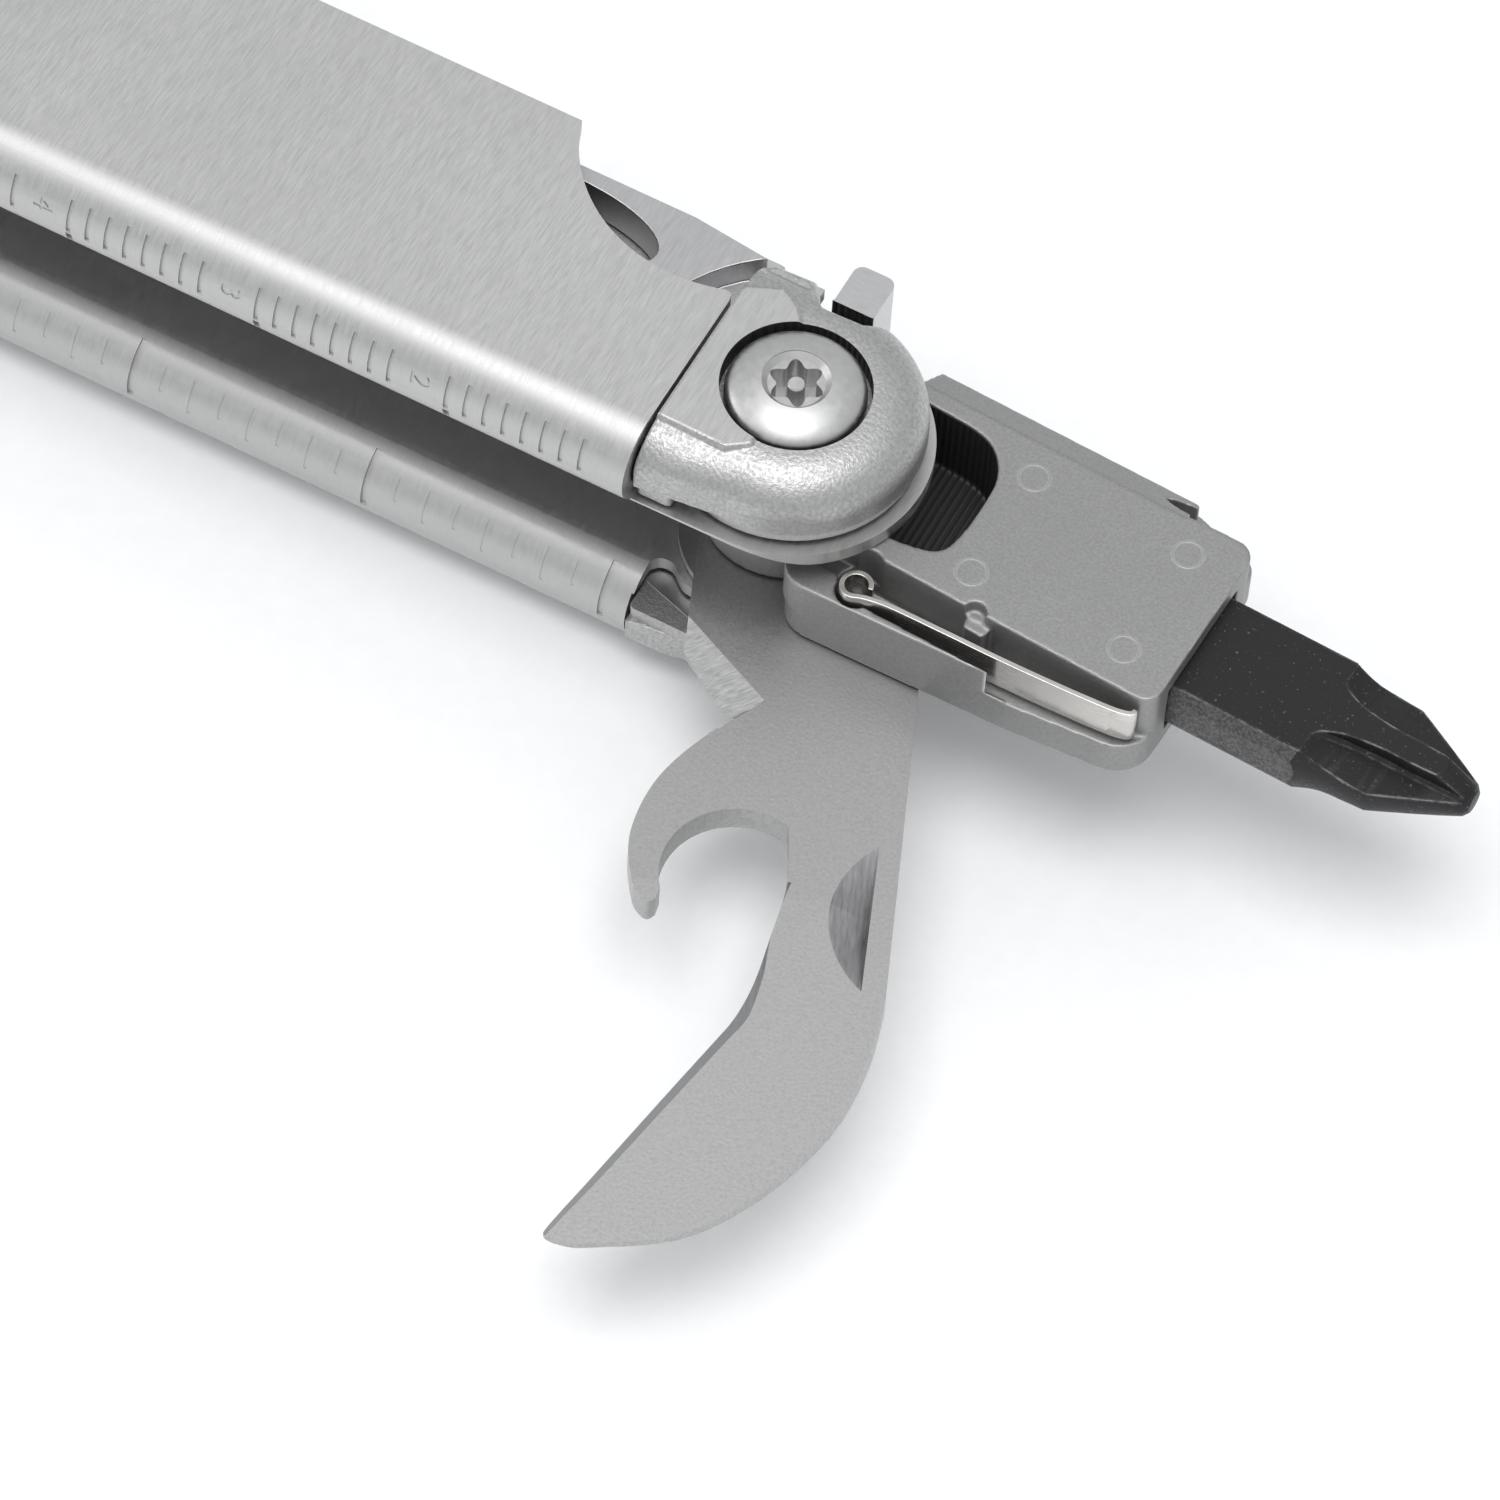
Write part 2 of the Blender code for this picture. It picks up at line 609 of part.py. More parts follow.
def jaw_outline():
    """Jaw in the plier frame: tang towards its pin, half of the lap joint, and the nose.

    The tang is on one side of the centre line and the nose on the other.
    """
    grip = [(8.0, -0.1), (13.0, -0.1)]
    for i in range(7):
        grip += [(13.4 + 1.5 * i, -0.45), (14.2 + 1.5 * i, -0.1)]
    nose = grip + [(NOSE_LENGTH, -0.1), (NOSE_LENGTH, -1.3), (NOSE_LENGTH - 0.5, -1.7),
                   (15.0, -4.8), (9.0, -5.2)]
    disc = arc(0, 0, LAP_RADIUS, 300, 150, 16)
    tang = [(-7.0, 2.6)] + arc(-PIN_BACK, PIN_PITCH / 2, 4.4, 238, 25, 10)
    return nose + disc + tang + arc(0, 0, LAP_RADIUS, 115, -2, 10)


def jaw(tag, place, up, parent):
    """One jaw; up is 1 for the jaw with the upper half of the lap joint."""
    name = f"jaw_{tag}"
    half = JAW_HALF_THICKNESS
    side = up
    body = plate(name, jaw_outline(), -half, half, place=place, side=side, holes=[
        circle(PIN_HOLE, -PIN_BACK, PIN_PITCH / 2), circle(2.9)])
    lap = sorted((up * LAP_GAP, -up * (half + 1)))
    cut(body, plate(name + "_lap", circle(LAP_RADIUS + LAP_CLEARANCE, steps=36), *lap, place=place))
    for face in (1, -1):
        taper = [(9.0, face * half), (NOSE_LENGTH + 2, face * 1.3), (NOSE_LENGTH + 2, face * (half + 2)),
                 (9.0, face * (half + 2))]
        turn = Matrix(((1, 0, 0, 0), (0, 0, -1, 0), (0, 1, 0, 0), (0, 0, 0, 1)))
        cut(body, plate(f"{name}_taper_{face}", taper, -9, 9, turn=turn, place=place))
    return finished(body, STEEL, parent)


def jaw_pin(place, parent):
    profile = [(0, 3.55), (4.1, 3.5), (4.1, 3.46), (2.7, 3.46)]
    profile += [(r, -z) for r, z in reversed(profile)]
    pin = turned("jaw_pivot_pin", profile, place)
    return finished(pin, POLISHED, parent)


# Assembly

def build_handle(handle):
    handle_shell(handle)
    tool_post(handle)
    tool_washer(handle)
    plier_pin(handle)
    lock_lever(handle)
    for up in (1, -1):
        bolster(handle, up)
        tool_screw(handle, up)


def build():
    place_a = shift(REST_POINT, 0, HALF_THICKNESS)
    root = axle("handle_a_axis", place_a)
    handle_a = Handle("a", place_a, 1, root)
    jaw_turn = turn_z(180 + 180 - FOLD_TRAVEL)
    pin_a = place_a @ shift(-PIN_DISTANCE, 0)
    plier_place = pin_a @ jaw_turn @ shift(PIN_BACK, -PIN_PITCH / 2)
    jaw_a_axle = axle("jaw_a_axis", pin_a, root)
    jaw_b_axle = axle("jaw_b_axis", plier_place, jaw_a_axle)

    deployed_b = 2 * (180 - FOLD_TRAVEL)
    pin_b = plier_place @ shift(-PIN_BACK, -PIN_PITCH / 2)
    pin_b = Matrix.Translation(pin_b.to_translation()) @ turn_z(deployed_b + HANDLE_B_SWING)
    handle_b = Handle("b", pin_b @ shift(PIN_DISTANCE, 0), -1, axle("handle_b_axis", pin_b, jaw_b_axle))

    build_handle(handle_a)
    build_handle(handle_b)
    jaw("a", plier_place, 1, jaw_a_axle)
    jaw("b", plier_place, -1, jaw_b_axle)
    jaw_pin(plier_place, jaw_a_axle)

    edge = ((10.5, 0.4), (76.0, 3.85))
    outer_blade("plain_knife", knife_outline(), handle_a, 1, POLISHED, [thumb_hole()], edge)
    outer_blade("wood_saw", saw_outline(), handle_a, -1, POLISHED)
    outer_blade("serrated_knife", serrated_outline(), handle_b, 1, POLISHED, [thumb_hole()])
    outer_blade("metal_file", file_outline(), handle_b, -1, POLISHED)

    _, driver_hub = bit_driver(handle_a)
    retention_spring(handle_a, driver_hub)
    phillips_bit(handle_a, driver_hub)
    can_opener(handle_a)
    stowed_tool("medium_screwdriver", screwdriver_outline(39.0, 5.2), 1.9, 3.55, handle_b, STEEL)
    stowed_tool("small_screwdriver", screwdriver_outline(37.0, 3.0), -3.1, -1.75, handle_b, STEEL)
    small_bit_driver(handle_b)


clear_scene()
PARTS = new_collection("multi_tool")
CUTTERS = new_collection("cutters")
build()
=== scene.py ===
"""Looks of the pocket multi tool: finely modelled pieces, finishes, studio and camera.

Each piece is modelled in millimetres in the frame of the part it belongs to, then scaled and put
in place. In a handle's frame the tools turn about Z at the origin, +X runs out of the tool end,
the channel opens towards -Y and the blade slots open towards +Y.
"""

from collections import namedtuple
from math import atan2, cos, pi, radians, sin, tan

import bmesh
import bpy
import numpy as np
from mathutils import Matrix, Vector


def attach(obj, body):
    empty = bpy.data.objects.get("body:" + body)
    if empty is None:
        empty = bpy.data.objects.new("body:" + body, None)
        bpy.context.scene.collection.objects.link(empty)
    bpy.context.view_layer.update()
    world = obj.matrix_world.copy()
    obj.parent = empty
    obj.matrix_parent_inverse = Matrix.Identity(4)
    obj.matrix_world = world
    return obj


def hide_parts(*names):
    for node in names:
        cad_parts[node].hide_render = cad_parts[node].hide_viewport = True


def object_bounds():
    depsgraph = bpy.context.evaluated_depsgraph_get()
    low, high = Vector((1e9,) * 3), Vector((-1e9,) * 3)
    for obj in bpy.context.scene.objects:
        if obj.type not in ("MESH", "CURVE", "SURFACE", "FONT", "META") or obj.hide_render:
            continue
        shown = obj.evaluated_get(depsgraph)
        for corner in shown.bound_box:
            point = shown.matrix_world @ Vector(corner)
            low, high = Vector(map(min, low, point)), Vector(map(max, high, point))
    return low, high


MM = 0.001
WELD = 1e-4

# Camera
CAMERA_PLACE = (0.14715, -0.22572, 0.36536)
CAMERA_AZIMUTH = 24.541
CAMERA_ELEVATION = 56.815
CAMERA_ROLL = 4.404
CAMERA_LENS = 224.52

# Handle sheet
HALF_THICKNESS = 8.6
SHEET = 0.85
FOLD_RADIUS = 2.45
TOP_FOLD_EDGE = 7.5
BOTTOM_FOLD_EDGE = 6.5
CHANNEL_HALF = 3.7
LINER_TOP = CHANNEL_HALF + SHEET
FLOOR_BOTTOM = 7.45
FLOOR_CORNER = 0.6
BACK_EDGE = 8.3
SEAM_X = -4.9
END_RADIUS = 6.65
PIN_DISTANCE = 87.0
PIN_END_RADIUS = 6.0
PIN_HOLE = 2.5
PIN_HEAD_HOLE = 3.2
PIN_HEAD_FLOOR = 6.0
REST_POINT = 45.0
BEYOND = HALF_THICKNESS + 1.0

# Ruler
MILLIMETRE_START = -7.13
TO_FIRST_NUMBER = 7
INCH_START = -6.2
SIXTEENTH = 25.4 / 16
DIGIT_SIZE = 1.5
DIGIT_GAP = 1.45

# Lock lever and its pin
LOCK_PIN_X = -16.0
LOCK_PIN_Y = 7.3
LOCK_PIN_RADIUS = 0.6
LOCK_PIN_HALF = 4.5
LEVER_BACK = -30.5
LEVER_HALF = 3.3
LEVER_NECK_HALF = 1.4

# Tool pivot
POST_RADIUS = 2.6
POST_HALF = 7.1
POST_HOLE = 2.8
SCREW_HEAD_RADIUS = 3.3
SCREW_RECESS_RADIUS = 3.55
SCREW_RECESS_FLOOR = 7.35
SCREW_SHANK_RADIUS = 1.4
LOBE_RADIUS = 1.13
LOBE_DEPTH = 0.21
BOLSTER_LOW = 5.5
BOLSTER_RADIUS = 6.25
BOLSTER_LEFT = -4.75
CROWN_START = 3.4
CROWN_LOW = 6.35
CROWN_RISE = 2.1
WASHER_RADIUS = 5.0
WASHER_LOW = -3.6
WASHER_TOP = -3.15

# Pliers
PIN_PITCH = 15.6
PIN_BACK = 10.5
JAW_HALF_THICKNESS = 3.4
LAP_RADIUS = 6.6
LAP_CLEARANCE = 0.3
LAP_GAP = 0.06
NOSE_LENGTH = 35.0
NOSE_HALF_TIP = 1.3
FOLD_TRAVEL = 174.0
HANDLE_B_SWING = 48.0

# Tools
HUB_RADIUS = 5.4
DRIVER_LOW = -1.35
DRIVER_TOP = 3.6
DRIVER_SKEW = -2.85
DRIVER_BASE_TOP = 0.4
BIT_LINE_Y = 1.58
BIT_MIDDLE = 0.98
COIL_X = 6.24
COIL_Y = -4.55
OPENER_LOW = -3.0
OPENER_TOP = -1.45
OPENER_REST = -68.0
BLADE_LOW = 4.68
BLADE_TOP = 6.9
BLADE_HUB_TOP = 5.4
BLADE_HUB_RADIUS = 6.0
BLADE_STEP_RADIUS = 8.4
BLADE_NECK = [(3.5, -6.6), (9.0, -7.2)]
BLADE_HEEL = [(13.0, 3.8), (6.0, 4.4)]

IDENTITY = Matrix.Identity(4)
ALONG_X = Matrix(((0, 0, 1, 0), (1, 0, 0, 0), (0, 1, 0, 0), (0, 0, 0, 1)))
ON_EDGE = Matrix(((1, 0, 0, 0), (0, 0, -1, 0), (0, 1, 0, 0), (0, 0, 0, 1)))
FLIP = Matrix.Rotation(pi, 4, "X")

Handle = namedtuple("Handle", "tag place side body")

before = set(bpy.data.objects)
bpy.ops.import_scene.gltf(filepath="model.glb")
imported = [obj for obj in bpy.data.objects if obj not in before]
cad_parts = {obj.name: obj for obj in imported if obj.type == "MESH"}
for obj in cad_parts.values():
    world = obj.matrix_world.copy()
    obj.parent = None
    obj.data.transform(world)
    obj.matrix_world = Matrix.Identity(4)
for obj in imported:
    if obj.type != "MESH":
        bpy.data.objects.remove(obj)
cad_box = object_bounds()


# Outlines

def arc(x, y, radius, start, end, steps):
    """Points along a circle from one angle to another, in degrees."""
    angles = [radians(start + (end - start) * i / steps) for i in range(steps + 1)]
    return [(x + radius * cos(a), y + radius * sin(a)) for a in angles]


def circle(radius, x=0.0, y=0.0, steps=64, stretch=1.0):
    points = arc(0, 0, radius, 0, 360, steps)[:-1]
    return [(x + px * stretch, y + py) for px, py in points]


def smooth(points, steps=6):
    """A smooth run through a few points (Catmull-Rom), with both ends kept."""
    ends = [points[0]] + points + [points[-1]]
    run = []
    for a, b, c, d in zip(ends, ends[1:], ends[2:], ends[3:]):
        for i in range(steps):
            t = i / steps
            run.append(tuple(
                0.5 * (2 * q + (r - p) * t + (2 * p - 5 * q + 4 * r - s) * t ** 2
                       + (3 * q - p - 3 * r + s) * t ** 3)
                for p, q, r, s in zip(a, b, c, d)))
    return run + [points[-1]]


def rounded(corners, steps=6):
    """A polygon whose corners (x, y, radius) are turned into arcs."""
    run = []
    for i, (x, y, radius) in enumerate(corners):
        here = Vector((x, y))
        back = (Vector(corners[i - 1][:2]) - here).normalized()
        ahead = (Vector(corners[(i + 1) % len(corners)][:2]) - here).normalized()
        half = back.angle(ahead) / 2
        if radius <= 0 or half > pi / 2 - 0.02:
            run.append((x, y))
            continue
        middle = here + (back + ahead).normalized() * radius / sin(half)
        start = here + back * radius / tan(half) - middle
        end = here + ahead * radius / tan(half) - middle
        first = atan2(start.y, start.x)
        turn = (atan2(end.y, end.x) - first + pi) % (2 * pi) - pi
        run += [(middle.x + radius * cos(first + turn * k / steps),
                 middle.y + radius * sin(first + turn * k / steps)) for k in range(steps + 1)]
    return run


def directions(path):
    """Each point of a path with the direction that the path has there."""
    ends = [path[0]] + list(path) + [path[-1]]
    for before, here, after in zip(ends, ends[1:], ends[2:]):
        yield here, (Vector(after) - Vector(before)).normalized()


def strip(path, width):
    """Outline of a strip of even width along a path."""
    left, right = [], []
    for here, along in directions(path):
        across = Vector((-along.y, along.x)) * width / 2
        left.append(tuple(Vector(here) + across))
        right.append(tuple(Vector(here) - across))
    return left + right[::-1]


# Solids in millimetres

def link(mesh):
    obj = bpy.data.objects.new("piece", mesh)
    bpy.context.scene.collection.objects.link(obj)
    return obj


def from_bmesh(work):
    mesh = bpy.data.meshes.new("piece")
    work.to_mesh(mesh)
    work.free()
    return link(mesh)


def evaluated_mesh(obj):
    graph = bpy.context.evaluated_depsgraph_get()
    return bpy.data.meshes.new_from_object(obj.evaluated_get(graph), depsgraph=graph)


def curve_mesh(curve):
    """A filled curve as a mesh; the object that held the curve goes."""
    guide = link(curve)
    mesh = evaluated_mesh(guide)
    bpy.data.objects.remove(guide, do_unlink=True)
    return mesh


def plate(outline, low, high, side=1, holes=(), turn=IDENTITY):
    """A flat outline with thickness from low to high; turned, then mirrored in Y for side -1."""
    curve = bpy.data.curves.new("outline", "CURVE")
    curve.dimensions = "2D"
    curve.fill_mode = "BOTH"
    curve.extrude = (high - low) / 2
    for ring in (outline, *holes):
        spline = curve.splines.new("POLY")
        spline.points.add(len(ring) - 1)
        for point, (x, y) in zip(spline.points, ring):
            point.co = (x, y, 0.0, 1.0)
        spline.use_cyclic_u = True
    mesh = curve_mesh(curve)
    mirror = Matrix.Diagonal((1, side, 1, 1))
    mesh.transform(mirror @ turn @ Matrix.Translation((0, 0, (low + high) / 2)))
    work = bmesh.new()
    work.from_mesh(mesh)
    bmesh.ops.remove_doubles(work, verts=work.verts, dist=WELD)
    bmesh.ops.dissolve_limit(work, angle_limit=0.001, verts=[], edges=work.edges)
    bmesh.ops.recalc_face_normals(work, faces=work.faces)
    return from_bmesh(work)


def box(low, high):
    size, middle = Vector(high) - Vector(low), (Vector(high) + Vector(low)) / 2
    work = bmesh.new()
    place = Matrix.Translation(middle) @ Matrix.Diagonal((*size, 1.0))
    bmesh.ops.create_cube(work, size=1.0, matrix=place)
    return from_bmesh(work)


def lofted(rings):
    """A solid through a row of rings of points, closed at both ends."""
    work = bmesh.new()
    rings = [[work.verts.new(point) for point in ring] for ring in rings]
    for first, second in zip(rings, rings[1:]):
        for k in range(4):
            work.faces.new((first[k], first[(k + 1) % 4], second[(k + 1) % 4], second[k]))
    work.faces.new(rings[0])
    work.faces.new(rings[-1][::-1])
    bmesh.ops.recalc_face_normals(work, faces=work.faces)
    return from_bmesh(work)


def moved(obj, matrix):
    """Moves a solid's mesh, so that its origin stays where it is."""
    obj.data.transform(matrix)
    return obj


def turned(profile, steps=72, place=IDENTITY):
    """A solid of revolution about Z; the profile runs from the top of the axis to its bottom."""
    mesh = bpy.data.meshes.new("turned")
    mesh.from_pydata([(r, 0.0, z) for r, z in profile],
                     [(i, i + 1) for i in range(len(profile) - 1)], [])
    obj = link(mesh)
    screw = obj.modifiers.new("turn", "SCREW")
    screw.steps = screw.render_steps = steps
    screw.use_merge_vertices = True
    screw.merge_threshold = WELD
    screw.use_normal_calculate = True
    return moved(welded(bake(obj), WELD), place)


def bake(obj):
    """Turns an object's modifiers into its mesh."""
    mesh, old = evaluated_mesh(obj), obj.data
    obj.modifiers.clear()
    obj.data = mesh
    bpy.data.meshes.remove(old)
    return obj


def combine(obj, others, operation):
    for other in others:
        step = obj.modifiers.new("step", "BOOLEAN")
        step.operation = operation
        step.solver = "EXACT"
        step.object = other
        bake(obj)
        bpy.data.objects.remove(other, do_unlink=True)
    return obj


def cut(obj, *others):
    return combine(obj, others, "DIFFERENCE")


def join(obj, *others):
    return combine(obj, others, "UNION")


def gathered(parts):
    """Separate solids as one object, for one cut or one piece."""
    work = bmesh.new()
    for part in parts:
        work.from_mesh(part.data)
        bpy.data.objects.remove(part, do_unlink=True)
    return from_bmesh(work)


def welded(obj, distance=20 * WELD, drop_slivers=False):
    """Merges points that lie together and, if asked, drops faces that have shrunk to nothing."""
    work = bmesh.new()
    work.from_mesh(obj.data)
    bmesh.ops.remove_doubles(work, verts=work.verts, dist=distance)
    if drop_slivers:
        bmesh.ops.dissolve_degenerate(work, dist=distance, edges=work.edges)
    bmesh.ops.recalc_face_normals(work, faces=work.faces)
    work.to_mesh(obj.data)
    work.free()
    return obj


def eased(obj, width, segments=3, angle=30):
    """Rounds the sharp edges by a small width."""
    step = obj.modifiers.new("edges", "BEVEL")
    step.width = width
    step.segments = segments
    step.limit_method = "ANGLE"
    step.angle_limit = radians(angle)
    step.use_clamp_overlap = True
    step.miter_outer = "MITER_ARC"
    return welded(bake(obj), drop_slivers=True)


def cast(obj, voxel):
    """Gives an even fine mesh with every corner softened, as a casting has."""
    step = obj.modifiers.new("voxels", "REMESH")
    step.mode = "VOXEL"
    step.voxel_size = voxel
    step = obj.modifiers.new("soft", "SMOOTH")
    step.factor = 0.5
    step.iterations = 3
    return bake(obj)


def turn_z(degrees):
    return Matrix.Rotation(radians(degrees), 4, "Z")


def turn_y(degrees):
    return Matrix.Rotation(radians(degrees), 4, "Y")


def turn_x(degrees):
    return Matrix.Rotation(radians(degrees), 4, "X")


def shift(x, y, z=0.0):
    return Matrix.Translation(Vector((x, y, z)) * MM)


def settle(obj, name, place, look, body, node, crease=38, others=()):
    """Scales a finished solid, puts it in place and ties it to its body and its CAD node.

    others are pairs of a finish and a test on a face that says where it goes.
    """
    obj.name = obj.data.name = name
    obj.data.materials.clear()
    obj.data.materials.append(look)
    for slot_number, (other_look, belongs) in enumerate(others, 1):
        obj.data.materials.append(other_look)
        for face in obj.data.polygons:
            if belongs(face):
                face.material_index = slot_number
    obj.data.transform(Matrix.Scale(MM, 4))
    obj.data.shade_smooth()
    obj.data.set_sharp_from_angle(angle=radians(crease))
    step = obj.modifiers.new("normals", "WEIGHTED_NORMAL")
    step.keep_sharp = True
    obj.matrix_world = place
    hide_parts(node)
    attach(obj, body)


# Finishes

def new_material(name):
    material = bpy.data.materials.new(name)
    material.use_nodes = True
    tree = material.node_tree
    return material, tree, tree.nodes["Principled BSDF"]


def feed(tree, socket, value):
    """Links an input to another node's output, or sets it to a number or a colour."""
    if isinstance(value, bpy.types.NodeSocket):
        tree.links.new(value, socket)
    else:
        socket.default_value = value


def new_node(tree, kind, output, inputs):
    """Adds a node, feeds its inputs and gives back one of its outputs."""
    node = tree.nodes.new("ShaderNode" + kind)
    for name, value in inputs.items():
        feed(tree, node.inputs[name], value)
    return node.outputs[output]


def texture_space(tree, scale):
    """Object coordinates, stretched."""
    coords = new_node(tree, "TexCoord", "Object", {})
    return new_node(tree, "Mapping", "Vector", {"Vector": coords, "Scale": scale})


def noise(tree, scale, detail, roughness=0.55):
    return new_node(tree, "TexNoise", "Fac", {
        "Vector": texture_space(tree, scale), "Scale": 1.0, "Detail": detail,
        "Roughness": roughness})


def ranged(tree, value, low, high, from_low=0.3, from_high=0.7):
    return new_node(tree, "MapRange", "Result", {
        "Value": value, "From Min": from_low, "From Max": from_high, "To Min": low,
        "To Max": high})


def mixed(tree, amount, first, second):
    """Colour between first and second; each is a colour or a node's output."""
    node = tree.nodes.new("ShaderNodeMix")
    node.data_type = "RGBA"
    feed(tree, node.inputs["Factor"], amount)
    for name, value in (("A", first), ("B", second)):
        socket = [s for s in node.inputs if s.name == name and s.type == "RGBA"][0]
        feed(tree, socket, (*value, 1.0) if isinstance(value, tuple) else value)
    return [s for s in node.outputs if s.type == "RGBA"][0]


def edge_mask(tree, radius, low=0.02, high=0.25):
    """1 on rounded and sharp edges, 0 on flat ground."""
    softened = new_node(tree, "Bevel", "Normal", {"Radius": radius})
    softened.node.samples = 4
    dot = tree.nodes.new("ShaderNodeVectorMath")
    dot.operation = "DOT_PRODUCT"
    feed(tree, dot.inputs[0], softened)
    feed(tree, dot.inputs[1], new_node(tree, "NewGeometry", "Normal", {}))
    return ranged(tree, dot.outputs["Value"], 1.0, 0.0, 1.0 - high, 1.0 - low)


def shade(color, factor):
    return tuple(min(c * factor, 1.0) for c in color)


def dress(tree, shader, color, metallic, roughness, height, depth):
    """Gives a metal its colour, roughness and relief, which is depth metres deep."""
    relief = new_node(tree, "Bump", "Normal", {
        "Height": height, "Distance": depth, "Strength": 1.0})
    inputs = {"Base Color": color, "Metallic": metallic, "Roughness": roughness, "Normal": relief}
    for name, value in inputs.items():
        feed(tree, shader.inputs[name], value)


def brushed(name, color, roughness, grain, depth, contrast=0.12):
    """Ground or brushed metal; grain is how fine the marks are along X, Y and Z, per metre."""
    material, tree, shader = new_material(name)
    marks = noise(tree, grain, 4.0)
    clouds = noise(tree, (90,) * 3, 2.0)
    tone = mixed(tree, ranged(tree, marks, 0.0, 1.0), shade(color, 1 - contrast),
                 shade(color, 1 + contrast))
    tone = mixed(tree, ranged(tree, clouds, 0.0, 0.35), tone, shade(color, 0.88))
    gloss = ranged(tree, marks, roughness * 0.85, roughness * 1.2)
    dress(tree, shader, tone, 1.0, gloss, marks, depth)
    return material


def blasted(name, color, roughness, grain, depth, speckle):
    """Cast and bead-blasted metal with a sparkling grain."""
    material, tree, shader = new_material(name)
    grains = noise(tree, (grain,) * 3, 2.0, 0.6)
    tone = mixed(tree, ranged(tree, grains, 0.0, 1.0), shade(color, 1 - speckle),
                 shade(color, 1 + speckle))
    gloss = ranged(tree, grains, roughness * 1.1, roughness * 0.8)
    dress(tree, shader, tone, 1.0, gloss, grains, depth)
    return material


def casting(name, color, bright_edges, roughness):
    """Matte grey casting with a fine grain and a painted highlight along its edges."""
    material, tree, shader = new_material(name)
    grains = noise(tree, (7000,) * 3, 2.0)
    stains = noise(tree, (260,) * 3, 3.0)
    tone = mixed(tree, ranged(tree, grains, 0.0, 1.0), shade(color, 0.88), shade(color, 1.1))
    tone = mixed(tree, ranged(tree, stains, 0.0, 0.3), tone, shade(color, 0.9))
    edges = edge_mask(tree, 0.00016)
    # Painted highlight: the edges are mixed towards the bright edge colour.
    tone = mixed(tree, edges, tone, bright_edges)
    gloss = ranged(tree, edges, roughness, roughness * 0.55, 0.0, 1.0)
    dress(tree, shader, tone, 0.85, gloss, grains, 6e-6)
    return material


def oxide(name, color, speck, low, high):
    """Black oxide with pale specks and edges rubbed down to grey."""
    material, tree, shader = new_material(name)
    grains = noise(tree, (6500,) * 3, 2.0)
    rub = noise(tree, (1500,) * 3, 4.0)
    tone = mixed(tree, ranged(tree, grains, 0.0, 1.0, low, high), color, speck)
    bright_edges = tree.nodes.new("ShaderNodeMath")
    bright_edges.operation = "MULTIPLY"
    feed(tree, bright_edges.inputs[0], edge_mask(tree, 0.00022, 0.03, 0.3))
    feed(tree, bright_edges.inputs[1], ranged(tree, rub, 0.15, 1.0, 0.42, 0.6))
    tone = mixed(tree, bright_edges.outputs["Value"], tone, (0.5, 0.5, 0.5))
    dress(tree, shader, tone, 0.6, ranged(tree, grains, 0.5, 0.36), grains, 1.2e-5)
    return material


def ribbed_shade(name, color):
    """Machining marks on a colour painted dark, a painted shade for the bottom of a pocket."""
    material, tree, shader = new_material(name)
    wave = new_node(tree, "TexWave", "Fac", {
        "Vector": texture_space(tree, (900, 60, 60)), "Scale": 1.0, "Distortion": 1.0})
    grains = noise(tree, (6000,) * 3, 2.0)
    tone = mixed(tree, wave, shade(color, 0.75), shade(color, 1.35))
    tone = mixed(tree, ranged(tree, grains, 0.0, 0.4), tone, shade(color, 0.7))
    dress(tree, shader, tone, 0.5, 0.5, wave, 5e-5)
    return material


def make_looks():
    steel = (0.60, 0.60, 0.60)
    return {
        "sheet": brushed("brushed_sheet", (0.54, 0.54, 0.535), 0.46, (14000, 1100, 1100), 3e-6, 0.08),
        "cast": blasted("blasted_steel", (0.47, 0.47, 0.465), 0.48, 5600.0, 3.2e-5, 0.16),
        "screw": brushed("satin_screw", (0.57, 0.57, 0.565), 0.42, (2500, 2500, 2500), 1.5e-6, 0.06),
        "ground": brushed("ground_facet", (0.52, 0.52, 0.515), 0.38, (15000, 1500, 1500), 6e-6, 0.24),
        # Honed facets: fine ground marks on a colour painted darker as shade.
        "honed_shade": brushed("honed_facet_shade", (0.29, 0.29, 0.295), 0.4, (900, 6500, 900), 3e-6, 0.2),
        "satin": brushed("satin_steel", steel, 0.34, (1500, 12000, 1500), 2e-6, 0.08),
        "blade": brushed("ground_blade", (0.56, 0.56, 0.565), 0.34, (14000, 1100, 1100), 2e-6, 0.08),
        "opener": blasted("tumbled_steel", (0.42, 0.42, 0.415), 0.46, 6000.0, 7e-6, 0.1),
        # Grey casting whose edges carry a painted highlight.
        "grey": casting("grey_casting", (0.33, 0.33, 0.328), (0.72, 0.72, 0.71), 0.5),
        "spring": brushed("spring_steel", (0.66, 0.64, 0.61), 0.24, (900, 900, 9000), 1.5e-6),
        "oxide": oxide("black_oxide", (0.024, 0.024, 0.025), (0.16, 0.16, 0.165), 0.66, 0.76),
        "rubbed": oxide("rubbed_oxide", (0.07, 0.07, 0.07), (0.17, 0.17, 0.17), 0.4, 0.8),
        # Painted shade: a dark ribbed colour for the holder's window floor; channel_shadow does the
        # same for other hollows.
        "ribbed_shade": ribbed_shade("window_floor_shade", (0.05, 0.05, 0.052)),
        "dark": ribbed_shade("channel_shadow", (0.03, 0.03, 0.031)),
    }


# Handle shell

def fold(edge, z, radius, start, end):
    return arc(radius_centre(edge), z, radius, start, end, 24)


def radius_centre(edge):
    return FOLD_RADIUS - edge


